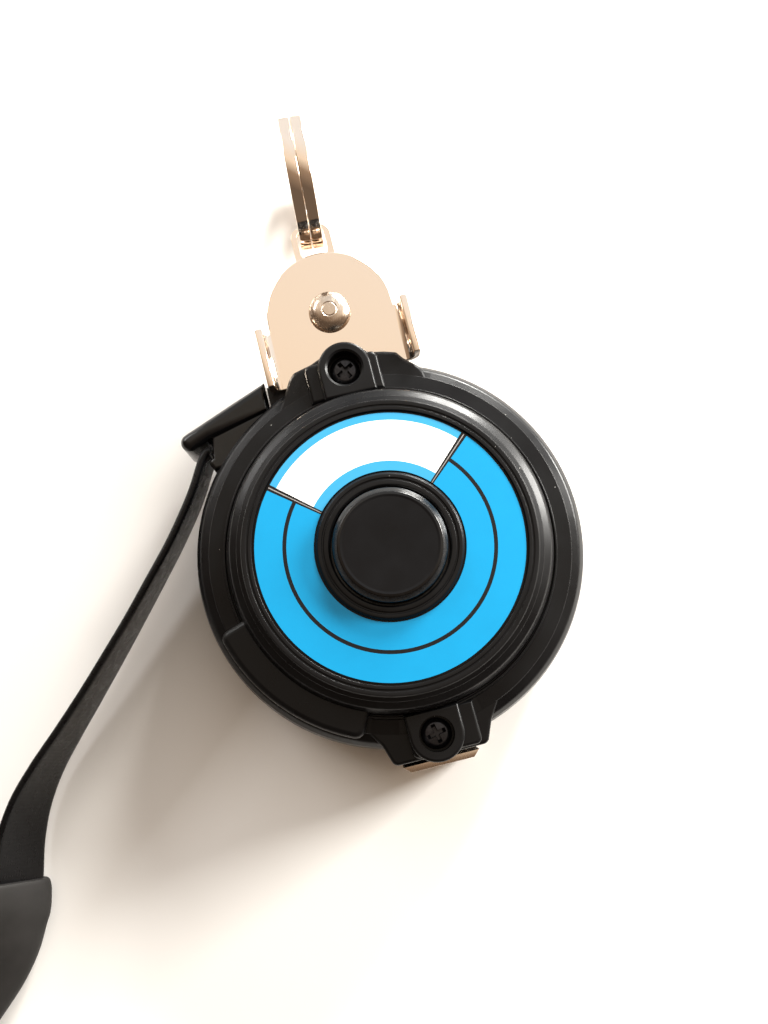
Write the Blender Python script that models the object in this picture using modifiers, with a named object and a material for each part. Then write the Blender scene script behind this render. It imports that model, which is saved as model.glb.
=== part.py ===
"""A self retracting lifeline: a palm-sized sprung webbing reel with a stop button, a swivel
bracket with a split ring, and a webbing lanyard that ends in a snap hook.

The reel lies on its back. +Z is the drum's axis, out of the front face; +Y points to the bracket.
The origin is the middle of the rear plate's outer face. Everything is in metres.
"""
import math

import bmesh
import bpy
from mathutils import Matrix, Vector

# ---------------------------------------------------------------- clearances and wall sizes
GAP = 0.0003                 # between neighbours that touch on the real reel
RUN = 0.0003                 # running clearance round a shaft
MERGE = 0.00001              # merge distance for turned shapes and converted curves

# ---------------------------------------------------------------- case
CASE_R = 0.0450              # outer radius at the parting line
CASE_WALL = 0.0021
PARTING_Z = 0.0160
PLATE_T = 0.0016             # rear plate and bracket sheet
REAR_FLOOR = 0.0018          # thickness of the rear cover's floor
LEDGE_Z = 0.0240             # flat ledge round the raised cap
LEDGE_WALL = 0.0020
CAP_R = 0.0373               # raised cap, at its foot
CAP_WALL = 0.0025
FACE_Z = 0.0326              # sunk face that carries the label
FACE_WALL = 0.0022
RIM_RISE = 0.0009            # rim round the label, above the face
LABEL_OUT_R = 0.03005
LABEL_IN_R = 0.0169
LABEL_T = 0.0003

# ---------------------------------------------------------------- bosses and lugs
SCREW_TOP_Y = CASE_R - 0.0016
SCREW_BOTTOM_Y = -CASE_R + 0.0026
BOSS_R = 0.00625
BOSS_TOP_Z = 0.0276
BOSS_BORE_R = 0.0040
SCREW_SEAT_Z = 0.0229
SCREW_HEAD_R = 0.0034
SCREW_HEAD_T = 0.0016
SCREW_R = 0.0017
NECK_HALF = 0.0133           # half width of the top lug
NECK_END_Y = CASE_R + 0.0012
NECK_TOP_Z = 0.0256
EAR_HALF = 0.0113            # half width of the bottom lug
EAR_END_Y = -CASE_R - 0.0023
EAR_TOP_Z = 0.0246
LUG_STEP = 0.0002            # the lugs' faces stand back this far from the parting faces
BULGE_FROM = math.radians(193)
BULGE_TO = math.radians(248)
BULGE_R = CASE_R - 0.0025
BULGE_TOP_Z = 0.0288

# ---------------------------------------------------------------- bracket, link and ring
BRACKET_HALF = 0.0150        # half width of both bracket plates
RIVET_Y = CASE_R + 0.0140
FRONT_PLATE_Z = 0.0200       # underside of the front bracket plate
EAR_START_Y = CASE_R - 0.0018
EAR_STOP_Y = CASE_R + 0.0122
EAR_RISE = 0.0075            # how far the folded ears stand above the plate's underside
EAR_OUT_X = 0.0182
FOLD_R = 0.0016              # inside bend radius of every fold
LINK_T = 0.0017
LINK_BODY_R = 0.0078
LINK_TIP_HALF = 0.0048
EYE_Y = CASE_R + 0.0325               # middle of the link's eye, where the ring passes
EYE_HALF_X = 0.0034
EYE_HALF_Y = 0.0034
LINK_TIP_Y = CASE_R + 0.0370
RIVET_HEAD_R = 0.0050
RIVET_HEAD_H = 0.0026
RIVET_R = 0.0025
WEB_Y = CASE_R + 0.0057               # middle of the sheet where the rear plate rises behind the lug
TAB_Y = -CASE_R - 0.0044              # middle of the sheet where its bottom tab rises
TAB_TOP_Z = 0.0135
TAB_HALF = 0.0067
PLATE_FOOT_HALF = 0.0116
RING_R = 0.0164              # split ring, mid line
RING_RADIAL = 0.0030
RING_WIDE = 0.0026
RING_GAP = 0.0003            # between its two coils
RING_LIFT = 0.0003           # above the surface it stands on
RING_YAW = math.radians(-3.5)        # it leans a little to one side in the eye
RING_JOINT_TURN = math.radians(20)   # where the two ends of its wire lie

# ---------------------------------------------------------------- drum, spring and brake
WEB_WIDE = 0.0150            # webbing width
WEB_T = 0.0019               # webbing thickness
SHAFT_R = 0.0040
SHOULDER_R = 0.0070
HUB_R = 0.0185
HUB_WALL = 0.0035
FLANGE_T = 0.0010
FRONT_FLANGE_T = 0.0012
REAR_FLANGE_R = 0.0360
FRONT_FLANGE_R = 0.0343
COIL_R = 0.0335
BUSH_FLANGE_R = 0.0080
BUSH_SLEEVE_R = 0.0060
BUSH_FLANGE_T = 0.0010
DRUM_SCREW_R = 0.0011
DRUM_SCREW_HEAD_R = 0.0019
DRUM_SCREW_HEAD_T = 0.0014
DRUM_SCREW_LONG = 0.0085
DRUM_SCREWS = 3
CLIP_T = 0.0008              # retaining ring on the shaft
CLIP_R = 0.0062
CLIP_GROOVE_R = 0.0030
SEAT_T = 0.0005              # washer under the button's spring
SEAT_R = 0.0080
BUTTON_WIRE = 0.0008
BUTTON_COIL_R = 0.0066
SPRING_TURNS = 5
SPRING_T = 0.0004
SPRING_IN_R = 0.0056
BUTTON_R = 0.0129
BUTTON_TOP_Z = 0.0367
BUTTON_WALL = 0.0017
BUTTON_TOP_T = 0.0020
SKIRT_R = 0.0145
PRESS = 0.0025               # button travel
PAD_T = 0.0015
BEZEL_OUT_R = 0.0165
BEZEL_RISE = 0.0010

# ---------------------------------------------------------------- outlet and lanyard
OUTLET_WALL = 0.0010         # floor and roof of the webbing's slot
OUTLET_CUT_X = -0.0189       # the case wall is cut away to the left of this ...
OUTLET_CUT_Y = CASE_R - 0.0167        # ... and above this
HORN_ROOT = (-0.0192, CASE_R + 0.0014)
HORN_TIP = (-CASE_R + 0.0054, CASE_R - 0.0084)
HORN_TIP_R = 0.0019
MOUTH = (-CASE_R + 0.0104, CASE_R - 0.0088)    # where the horn's underside meets the slot
SLOT_LOW_Y = CASE_R - 0.0132
SLOT_HIGH_Y = CASE_R - 0.0092
LIP_AT = (-CASE_R + 0.0103, CASE_R - 0.0146)   # rounded lip that the webbing turns over
LIP_R = 0.0012
HOOK_X = -0.1243             # the hook lies along -Y from here
EYE_BAR_Y = -0.0950
HOOK_MID_Z = 0.0060
HOOK_T = 0.0070
# Middle line of the free webbing, and how far its top edge leans outwards there (degrees).
# Picked by hand: out of the horn, along the case, down to the table, and turning over.
WEBBING_ROUTE = [
    (-0.0353, 0.0337, 0.01285, 0), (-0.0361, 0.03366, 0.01285, 0), (-0.0375, 0.0323, 0.01285, 0),
    (-0.0390, 0.0298, 0.01280, 0), (-0.0409, 0.0265, 0.01270, 0), (-0.0437, 0.0224, 0.01250, 0),
    (-0.0492, 0.0153, 0.0121, 0), (-0.0556, 0.0080, 0.0116, 1), (-0.0624, 0.0004, 0.0110, 2),
    (-0.0696, -0.0073, 0.0104, 4),
    (-0.0768, -0.0148, 0.0098, 6), (-0.0838, -0.0218, 0.0092, 9), (-0.0905, -0.0286, 0.0087, 14),
    (-0.0960, -0.0356, 0.0083, 22), (-0.1001, -0.0434, 0.0079, 30), (-0.1029, -0.0515, 0.0075, 37),
]
# The sewn end goes on from there inside its sleeve and lies flat where it meets the hook's eye.
SLEEVE_ROUTE = [
    (-0.1031, -0.0522, 0.0075, 38), (-0.1048, -0.0580, 0.0073, 44), (-0.1078, -0.0640, 0.0070, 52),
    (-0.1120, -0.0692, 0.0067, 60), (-0.1168, -0.0735, 0.0064, 70), (-0.1212, -0.0773, 0.0061, 80),
    (-0.1238, -0.0809, 0.0060, 88), (-0.1243, -0.0840, 0.0060, 90), (-0.1243, -0.0865, 0.0060, 90),
]
EYE_REACH = 0.0190           # from the hook's base to the middle of its eye's bar
EYE_BAR = 0.0040
EYE_BASE = 0.0053
STEM_R = 0.0022
HOOK_SLOT = 0.0018           # half height of the slot in the hook's base
HOOK_PIN_R = 0.0016
GATE_AT = (-0.0090, 0.0190)  # pivots, in the hook's own frame
LOCK_AT = (0.0075, 0.0140)
GATE_TIP_Y = 0.0670
NOSE_Y = 0.0780
NOSE_OUT_R = 0.0170
NOSE_IN_R = 0.0095
SLEEVE_T = 0.0052
SLEEVE_WIDE = 0.0168

# ---------------------------------------------------------------- heights that follow
REAR_COVER_Z = PLATE_T + GAP
REAR_INSIDE_Z = REAR_COVER_Z + REAR_FLOOR
DRUM_Z = REAR_INSIDE_Z + GAP
COIL_Z = DRUM_Z + FLANGE_T + GAP
COIL_TOP_Z = COIL_Z + WEB_WIDE
HUB_TOP_Z = COIL_TOP_Z + 0.5 * GAP
FRONT_FLANGE_Z = HUB_TOP_Z + GAP
FRONT_FLANGE_TOP_Z = FRONT_FLANGE_Z + FRONT_FLANGE_T
WEB_MID_Z = COIL_Z + WEB_WIDE / 2
FACE_INSIDE_Z = FACE_Z - FACE_WALL
CAP_INSIDE_R = CAP_R - CAP_WALL
CASE_INSIDE_R = CASE_R - CASE_WALL
LEDGE_INSIDE_Z = LEDGE_Z - LEDGE_WALL
HUB_INSIDE_R = HUB_R - HUB_WALL
REAR_BUSH_SEAT_Z = DRUM_Z + FLANGE_T + GAP
FRONT_BUSH_SEAT_Z = FRONT_FLANGE_TOP_Z + GAP
SPRING_Z = REAR_BUSH_SEAT_Z + BUSH_FLANGE_T + GAP
SPRING_TOP_Z = HUB_TOP_Z - GAP
CLIP_Z = FRONT_BUSH_SEAT_Z + BUSH_FLANGE_T + GAP
SEAT_Z = CLIP_Z + CLIP_T + GAP
SHAFT_TOP_Z = SEAT_Z + SEAT_T + 0.0005
DRUM_SCREW_AT = (HUB_R + HUB_INSIDE_R) / 2
PAD_Z = FRONT_FLANGE_TOP_Z + PRESS + GAP
SKIRT_Z = PAD_Z + PAD_T + GAP
LINK_Z = FRONT_PLATE_Z - GAP - LINK_T
UPPER_REAR_Z = LINK_Z - GAP - PLATE_T
LUG_TOP_Z = FRONT_PLATE_Z - GAP
POCKET_TOP_Z = FRONT_PLATE_Z + PLATE_T + GAP
BEZEL_HOLE_R = BUTTON_R + 0.0020
OUTLET_LOW_Z = REAR_INSIDE_Z + GAP
OUTLET_HIGH_Z = LEDGE_INSIDE_Z - GAP

COLOURS = {
    "moulded_black": ((0.016, 0.016, 0.017), 0.42, 0.0),
    "gloss_black": ((0.010, 0.010, 0.011), 0.22, 0.0),
    "label_blue": ((0.012, 0.420, 0.950), 0.40, 0.0),
    "plated_steel": ((0.780, 0.720, 0.660), 0.16, 1.0),
    "dark_screw": ((0.030, 0.030, 0.032), 0.35, 1.0),
    "turned_steel": ((0.560, 0.560, 0.570), 0.30, 1.0),
    "spring_steel": ((0.300, 0.310, 0.340), 0.30, 1.0),
    "white_nylon": ((0.700, 0.680, 0.620), 0.50, 0.0),
    "drum_plastic": ((0.060, 0.062, 0.066), 0.50, 0.0),
    "brake_rubber": ((0.030, 0.028, 0.027), 0.85, 0.0),
    "black_webbing": ((0.014, 0.014, 0.015), 0.60, 0.0),
    "forged_alloy": ((0.620, 0.620, 0.630), 0.30, 1.0),
}


# ================================================================ helpers
def start_clean():
    for ob in list(bpy.data.objects):
        bpy.data.objects.remove(ob, do_unlink=True)


def new_collection(name):
    collection = bpy.data.collections.new(name)
    bpy.context.scene.collection.children.link(collection)
    return collection


start_clean()
PARTS = new_collection("self_retracting_lifeline")
CUTTERS = new_collection("cutters")


def finish_material(name):
    """One Principled material for each finish, made when it is first used."""
    found = bpy.data.materials.get(name)
    if found:
        return found
    colour, roughness, metallic = COLOURS[name]
    material = bpy.data.materials.new(name)
    material.use_nodes = True
    shader = material.node_tree.nodes["Principled BSDF"]
    shader.inputs["Base Color"].default_value = (*colour, 1.0)
    shader.inputs["Roughness"].default_value = roughness
    shader.inputs["Metallic"].default_value = metallic
    material.diffuse_color = (*colour, 1.0)
    return material


def place(name, data, finish):
    """Put new mesh or curve data in the scene; a piece with no finish is a cutter."""
    ob = bpy.data.objects.new(name, data)
    if finish:
        PARTS.objects.link(ob)
        data.materials.append(finish_material(finish))
    else:
        CUTTERS.objects.link(ob)
        ob.hide_render = True
        ob.display_type = "WIRE"
    return ob


def arc(centre, radius, start, end, count):
    """Points along an arc, from the start angle to the end angle, in radians."""
    step = (end - start) / (count - 1)
    return [(centre[0] + radius * math.cos(start + i * step),
             centre[1] + radius * math.sin(start + i * step)) for i in range(count)]


def circle(centre, radius, count):
    return arc(centre, radius, 0, 2 * math.pi * (count - 1) / count, count)


def turned(name, profile, finish, steps=32, at=(0, 0, 0), closed=True):
    """A solid of revolution about Z. The profile is (radius, height) pairs, down the outer side."""
    bm = bmesh.new()
    verts = [bm.verts.new((r, 0, z)) for r, z in profile]
    for a, b in zip(verts, verts[1:]):
        bm.edges.new((a, b))
    if closed:
        bm.edges.new((verts[-1], verts[0]))
    mesh = bpy.data.meshes.new(name)
    bm.to_mesh(mesh)
    bm.free()
    ob = place(name, mesh, finish)
    ob.location = at
    screw = ob.modifiers.new("turn", "SCREW")
    screw.axis = "Z"
    screw.steps = steps
    screw.render_steps = steps
    screw.use_merge_vertices = True
    screw.merge_threshold = MERGE
    screw.use_smooth_shade = True
    return ob


def ring_profile(inner, outer, low, high):
    return [(inner, high), (outer, high), (outer, low), (inner, low)]


def disc_profile(outer, low, high):
    return [(0, high), (outer, high), (outer, low), (0, low)]


def curve_to_mesh(curve_ob, name, finish):
    """Replace a curve by a closed mesh in world space."""
    graph = bpy.context.evaluated_depsgraph_get()
    mesh = bpy.data.meshes.new_from_object(curve_ob.evaluated_get(graph))
    matrix = curve_ob.matrix_world.copy()
    curve = curve_ob.data
    bpy.data.objects.remove(curve_ob, do_unlink=True)
    bpy.data.curves.remove(curve)
    bm = bmesh.new()
    bm.from_mesh(mesh)
    bmesh.ops.remove_doubles(bm, verts=bm.verts, dist=MERGE)
    bmesh.ops.recalc_face_normals(bm, faces=bm.faces)
    bm.to_mesh(mesh)
    bm.free()
    mesh.materials.clear()
    mesh.name = name
    ob = place(name, mesh, finish)
    ob.matrix_world = matrix
    return ob


def flat(name, outline, low, high, finish, holes=(), matrix=None):
    """A flat piece: a filled 2D outline, with any holes, from one height to another."""
    curve = bpy.data.curves.new(name + "_outline", "CURVE")
    curve.dimensions = "2D"
    curve.fill_mode = "BOTH"
    curve.extrude = (high - low) / 2
    for loop in (outline, *holes):
        spline = curve.splines.new("POLY")
        spline.points.add(len(loop) - 1)
        for point, (x, y) in zip(spline.points, loop):
            point.co = (x, y, 0, 1)
        spline.use_cyclic_u = True
    ob = bpy.data.objects.new(name + "_outline", curve)
    bpy.context.scene.collection.objects.link(ob)
    ob.matrix_world = (matrix or Matrix.Identity(4)) @ Matrix.Translation((0, 0, (low + high) / 2))
    bpy.context.view_layer.update()
    return curve_to_mesh(ob, name, finish)


def box(name, low, high, finish=None):
    bm = bmesh.new()
    bmesh.ops.create_cube(bm, size=1.0)
    size = Vector(high) - Vector(low)
    middle = (Vector(high) + Vector(low)) / 2
    bmesh.ops.scale(bm, vec=size, verts=bm.verts)
    bmesh.ops.translate(bm, vec=middle, verts=bm.verts)
    mesh = bpy.data.meshes.new(name)
    bm.to_mesh(mesh)
    bm.free()
    return place(name, mesh, finish)


def pin(name, radius, low, high, at, finish=None, steps=20):
    """A plain round bar along Z."""
    ob = turned(name, disc_profile(radius, low, high), finish, steps, (*at, 0), closed=False)
    ob.rotation_euler.z = 0.1
    return ob


def combine(ob, other, operation):
    boolean = ob.modifiers.new(operation.lower() + "_" + other.name, "BOOLEAN")
    boolean.operation = operation
    boolean.solver = "EXACT"
    boolean.object = other


def cut(ob, *cutters):
    for cutter in cutters:
        combine(ob, cutter, "DIFFERENCE")


def join(ob, *others):
    for other in others:
        combine(ob, other, "UNION")


def soften(ob, width, segments=1, degrees=40):
    """Round the sharp edges of a piece."""
    bevel = ob.modifiers.new("soften", "BEVEL")
    bevel.width = width
    bevel.segments = segments
    bevel.limit_method = "ANGLE"
    bevel.angle_limit = math.radians(degrees)


def smooth_route(points, per_span):
    """Catmull-Rom points through a hand-picked route; every value of a point is carried along."""
    padded = [points[0], *points, points[-1]]
    result = []
    for p0, p1, p2, p3 in zip(padded, padded[1:], padded[2:], padded[3:]):
        for step in range(per_span):
            t = step / per_span
            result.append(tuple(
                0.5 * (2 * b + (c - a) * t + (2 * a - 5 * b + 4 * c - d) * t * t
                       + (3 * b - a - 3 * c + d) * t ** 3)
                for a, b, c, d in zip(p0, p1, p2, p3)))
    result.append(tuple(points[-1]))
    return result


def strap(name, route, wide, thick, finish, per_span=1):
    """Webbing along a route of x, y, z and lean; it stands on edge where the lean is 0."""
    curve = bpy.data.curves.new(name, "CURVE")
    curve.dimensions = "3D"
    curve.twist_mode = "Z_UP"
    curve.extrude = (wide - thick) / 2
    curve.bevel_depth = thick / 2
    curve.bevel_resolution = 1
    curve.use_fill_caps = True
    points = smooth_route(route, per_span)
    spline = curve.splines.new("POLY")
    spline.points.add(len(points) - 1)
    for point, (x, y, z, lean) in zip(spline.points, points):
        point.co = (x, y, z, 1)
        point.tilt = math.radians(lean)
    return place(name, curve, finish)


# ================================================================ case
def outlet_opening(name, low, high):
    """The corner that the webbing outlet takes out of the case wall."""
    return box(name, (-CASE_R - 0.0050, OUTLET_CUT_Y, low),
               (OUTLET_CUT_X, CASE_R + 0.0050, high))


def lug_outline(half, inner_y, end_y, corner):
    """A lug's outline with rounded outer corners; a negative end lies at the bottom."""
    side = 1 if end_y > 0 else -1
    right = arc((half - corner, end_y - side * corner), corner, 0, side * math.pi / 2, 5)
    left = [(-x, y) for x, y in reversed(right)]
    outline = [(half, inner_y), *right, *left, (-half, inner_y)]
    return outline if side > 0 else outline[::-1]


def rear_cover():
    round_z = REAR_COVER_Z + 0.0046
    profile = [
        (CASE_R, PARTING_Z - GAP / 2), (CASE_R, round_z), (CASE_R - 0.0007, REAR_COVER_Z + 0.0024),
        (CASE_R - 0.0021, REAR_COVER_Z + 0.0009), (CASE_R - 0.0045, REAR_COVER_Z),
        (SHOULDER_R + GAP, REAR_COVER_Z), (SHOULDER_R + GAP, REAR_INSIDE_Z),
        (CASE_INSIDE_R - 0.0026, REAR_INSIDE_Z), (CASE_INSIDE_R - 0.0007, REAR_INSIDE_Z + 0.0007),
        (CASE_INSIDE_R, REAR_INSIDE_Z + 0.0026), (CASE_INSIDE_R, PARTING_Z - GAP / 2)]
    ob = turned("rear_cover", profile, "moulded_black", 48)
    lugs = [
        flat("rear_lug_top", lug_outline(NECK_HALF - GAP, 0.0400, NECK_END_Y - GAP, 0.0030),
             REAR_COVER_Z + LUG_STEP, LUG_TOP_Z, None),
        flat("rear_lug_bottom", lug_outline(EAR_HALF, -0.0400, EAR_END_Y, 0.0026),
             REAR_COVER_Z + LUG_STEP, PARTING_Z - GAP / 2 - LUG_STEP, None)]
    join(ob, *lugs)
    cut(ob, outlet_opening("rear_outlet_cut", OUTLET_LOW_Z - GAP, PARTING_Z + 0.001))
    for y in (SCREW_TOP_Y, SCREW_BOTTOM_Y):
        cut(ob, pin("rear_screw_cut", SCREW_R + GAP, -0.001, LUG_TOP_Z + 0.001, (0, y)))
    return ob


def front_cover():
    low = PARTING_Z + GAP / 2
    rim = FACE_Z + RIM_RISE
    profile = [
        (BEZEL_HOLE_R, FACE_Z), (LABEL_OUT_R + 0.0005, FACE_Z), (LABEL_OUT_R + 0.0009, rim),
        (0.0326, rim), (0.0334, FACE_Z + 0.0004), (0.0354, FACE_Z - 0.0006),
        (CAP_R - 0.0007, FACE_Z - 0.0016), (CAP_R - 0.0002, FACE_Z - 0.0032),
        (CAP_R, LEDGE_Z + 0.0003), (CAP_R + 0.0003, LEDGE_Z), (CASE_R - 0.0033, LEDGE_Z),
        (CASE_R - 0.0016, LEDGE_Z - 0.0008), (CASE_R - 0.0005, LEDGE_Z - 0.0026),
        (CASE_R, LEDGE_Z - 0.0052), (CASE_R, low), (CASE_INSIDE_R, low),
        (CASE_INSIDE_R, LEDGE_INSIDE_Z - 0.0010), (CASE_INSIDE_R - 0.0010, LEDGE_INSIDE_Z),
        (CAP_INSIDE_R + 0.0006, LEDGE_INSIDE_Z), (CAP_INSIDE_R, LEDGE_INSIDE_Z + 0.0006),
        (CAP_INSIDE_R, FACE_INSIDE_Z - 0.0010), (CAP_INSIDE_R - 0.0010, FACE_INSIDE_Z),
        (BEZEL_HOLE_R, FACE_INSIDE_Z)]
    ob = turned("front_cover", profile, "moulded_black", 48)
    bulge = flat("bulge", arc((0, 0), CAP_R - 0.0012, BULGE_FROM, BULGE_TO, 8)
                 + arc((0, 0), BULGE_R, BULGE_TO - 0.03, BULGE_FROM + 0.03, 9),
                 LEDGE_Z - 0.0010, BULGE_TOP_Z, None)
    soften(bulge, 0.0014, 2, 60)
    join(ob, bulge,
         flat("neck", lug_outline(NECK_HALF, 0.0385, NECK_END_Y, 0.0036), low + LUG_STEP,
              NECK_TOP_Z, None),
         flat("ear", lug_outline(EAR_HALF, -0.0385, EAR_END_Y, 0.0026), low + LUG_STEP,
              EAR_TOP_Z, None))
    for y in (SCREW_TOP_Y, SCREW_BOTTOM_Y):
        boss_low = (LEDGE_INSIDE_Z if y > 0 else low) + 2 * LUG_STEP
        join(ob, pin("boss", BOSS_R, boss_low, BOSS_TOP_Z, (0, y), steps=22))
    side = NECK_HALF + 0.0002
    cut(ob, box("bracket_pocket", (-side, 0.0397, low - 0.001),
                (side, NECK_END_Y + 0.004, POCKET_TOP_Z)))
    cut(ob, outlet_opening("front_outlet_cut", low - 0.001, OUTLET_HIGH_Z + GAP))
    for y in (SCREW_TOP_Y, SCREW_BOTTOM_Y):
        cut(ob, pin("front_bore_cut", BOSS_BORE_R, SCREW_SEAT_Z, BOSS_TOP_Z + 0.001, (0, y),
                    steps=18),
            pin("front_screw_cut", SCREW_R + GAP, low - 0.001, SCREW_SEAT_Z + 0.001, (0, y)))
    return ob


def label_ring():
    low = FACE_Z + GAP
    return turned("label_ring", ring_profile(LABEL_IN_R, LABEL_OUT_R, low, low + LABEL_T),
                  "label_blue", 48)


def bezel_ring():
    """A collar that lines the button's hole and covers its edge."""
    seat = FACE_Z + GAP
    top = seat + BEZEL_RISE
    inner = BUTTON_R + 0.0004
    sleeve = BEZEL_HOLE_R - GAP
    profile = [(inner, top - 0.0003), (inner + 0.0004, top), (BEZEL_OUT_R - 0.0008, top),
               (BEZEL_OUT_R, top - 0.0007), (BEZEL_OUT_R, seat), (sleeve, seat),
               (sleeve, FACE_INSIDE_Z), (inner, FACE_INSIDE_Z)]
    return turned("bezel_ring", profile, "moulded_black", 32)


def case_screw(name, y):
    """A pan head screw with a cross recess; its end is tapped into the rear plate."""
    seat = SCREW_SEAT_Z + GAP
    top = seat + SCREW_HEAD_T
    profile = [(0, top), (SCREW_HEAD_R - 0.0009, top - 0.0001), (SCREW_HEAD_R, top - 0.0009),
               (SCREW_HEAD_R, seat), (SCREW_R, seat), (SCREW_R, 0.0004), (0, 0.0004)]
    ob = turned(name, profile, "dark_screw", 20, (0, y, 0), closed=False)
    for turn in (40, 130):
        blade = box(name + "_recess", (-0.0019, -0.0004, top - 0.0011), (0.0019, 0.0004, top + 0.001))
        blade.matrix_world = Matrix.Translation((0, y, 0)) @ Matrix.Rotation(
            math.radians(turn), 4, "Z")
        cut(ob, blade)
    return ob


def outlet_guide():
    """The moulded mouth that the webbing runs out through, with the horn over it."""
    outline = [HORN_ROOT, *arc(HORN_TIP, HORN_TIP_R, math.radians(112), math.radians(290), 8),
               MOUTH, *arc(LIP_AT, LIP_R, math.radians(100), math.radians(205), 5),
               (LIP_AT[0] - 0.0004, OUTLET_CUT_Y + GAP), (-0.0245, OUTLET_CUT_Y + GAP),
               (OUTLET_CUT_X - GAP, CASE_R - 0.0131)]
    slot = [(-0.0140, SLOT_HIGH_Y), (MOUTH[0], SLOT_HIGH_Y), (MOUTH[0] - 0.0019, SLOT_HIGH_Y - 0.0013),
            (MOUTH[0] - 0.0024, SLOT_LOW_Y), (-0.0140, SLOT_LOW_Y)]
    ob = flat("outlet_guide", outline, OUTLET_LOW_Z, OUTLET_HIGH_Z, "gloss_black")
    cut(ob, flat("slot_cut", slot, OUTLET_LOW_Z + OUTLET_WALL, OUTLET_HIGH_Z - OUTLET_WALL, None))
    return ob


# ================================================================ bracket, link and ring
def bent_outline(path, thickness, inside_radius):
    """The edge-on outline of sheet metal folded along a path of square corners."""
    def side(offset):
        points = []
        for before, corner, after in zip(path, path[1:], path[2:]):
            a = (Vector(corner) - Vector(before)).normalized()
            b = (Vector(after) - Vector(corner)).normalized()
            turn = a.x * b.y - a.y * b.x
            middle_r = inside_radius + thickness / 2
            centre = Vector(corner) - a * middle_r + b * middle_r
            start = math.atan2(-b.y, -b.x)
            radius = middle_r - offset * turn
            points += arc(centre, radius, start, start + turn * math.pi / 2, 5)
        first = (Vector(path[1]) - Vector(path[0])).normalized()
        last = (Vector(path[-1]) - Vector(path[-2])).normalized()
        head = (path[0][0] - first.y * offset, path[0][1] + first.x * offset)
        tail = (path[-1][0] - last.y * offset, path[-1][1] + last.x * offset)
        return [head, *points, tail]
    return side(thickness / 2) + side(-thickness / 2)[::-1]


def rear_plate():
    """Sheet steel behind the case: a bottom tab, the back, a riser and the rear bracket plate."""
    middle = PLATE_T / 2
    path = [(TAB_Y, TAB_TOP_Z), (TAB_Y, middle), (WEB_Y, middle), (WEB_Y, UPPER_REAR_Z + middle),
            (RIVET_Y + BRACKET_HALF + 0.002, UPPER_REAR_Z + middle)]
    upright = Matrix.Rotation(math.radians(90), 4, "Z") @ Matrix.Rotation(math.radians(90), 4, "X")
    ob = flat("rear_plate", bent_outline(path, PLATE_T, FOLD_R), -BRACKET_HALF - 0.001,
              BRACKET_HALF + 0.001, "plated_steel", matrix=upright)
    right = [(PLATE_FOOT_HALF, -0.0462), (PLATE_FOOT_HALF, -0.0420), (BRACKET_HALF, -0.0330)]
    tab_end = TAB_Y - PLATE_T
    plan = [(TAB_HALF, tab_end), *right, *arc((0, RIVET_Y), BRACKET_HALF, 0, math.pi, 21),
            *[(-x, y) for x, y in reversed(right)], (-TAB_HALF, tab_end)]
    combine(ob, flat("rear_plate_plan", plan, -0.002, 0.030, None), "INTERSECT")
    for y in (SCREW_TOP_Y, SCREW_BOTTOM_Y):
        cut(ob, pin("plate_screw_cut", SCREW_R + GAP, -0.001, 0.004, (0, y)))
    cut(ob, pin("plate_rivet_cut", RIVET_R + GAP, UPPER_REAR_Z - 0.001, LINK_Z, (0, RIVET_Y)))
    return ob


def front_bracket():
    """The plate that shows in front, with an ear folded up along each side."""
    top = FRONT_PLATE_Z + PLATE_T
    middle = FRONT_PLATE_Z + PLATE_T / 2
    ear_x = EAR_OUT_X - PLATE_T / 2
    ear_top = FRONT_PLATE_Z + EAR_RISE
    path = [(-ear_x, ear_top), (-ear_x, middle), (ear_x, middle), (ear_x, ear_top)]
    upright = Matrix.Rotation(math.radians(90), 4, "X")
    ob = flat("front_bracket", bent_outline(path, PLATE_T, FOLD_R), -RIVET_Y - BRACKET_HALF - 0.002,
              -0.0380, "plated_steel", matrix=upright)
    tongue = NECK_HALF - GAP
    right = [(tongue, 0.0400), (tongue, EAR_START_Y), (EAR_OUT_X + 0.001, EAR_START_Y),
             (EAR_OUT_X + 0.001, EAR_STOP_Y), (BRACKET_HALF, EAR_STOP_Y)]
    plan = [*right, *arc((0, RIVET_Y), BRACKET_HALF, 0, math.pi, 25),
            *[(-x, y) for x, y in reversed(right)]]
    combine(ob, flat("front_bracket_plan", plan, FRONT_PLATE_Z - 0.002, ear_top + 0.002, None),
            "INTERSECT")
    cut(ob, pin("bracket_screw_cut", SCREW_R + GAP, FRONT_PLATE_Z - 0.001, top + 0.001,
                (0, SCREW_TOP_Y)),
        pin("bracket_rivet_cut", RIVET_R + GAP, FRONT_PLATE_Z - 0.001, top + 0.001, (0, RIVET_Y)))
    return ob


def bracket_rivet():
    """A domed rivet through both bracket plates and the link."""
    seat = FRONT_PLATE_Z + PLATE_T + GAP
    tail = UPPER_REAR_Z - GAP
    top = seat + RIVET_HEAD_H
    profile = [(0, top), (0.0016, top - 0.0001), (0.0034, top - 0.0006),
               (RIVET_HEAD_R - 0.0004, top - 0.0014), (RIVET_HEAD_R, top - 0.0021),
               (RIVET_HEAD_R, seat), (RIVET_R, seat), (RIVET_R, tail), (RIVET_HEAD_R - 0.0006, tail),
               (RIVET_HEAD_R - 0.0008, tail - 0.0008), (0.0030, tail - 0.0015), (0, tail - 0.0015)]
    return turned("bracket_rivet", profile, "plated_steel", 20, (0, RIVET_Y, 0), closed=False)


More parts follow.
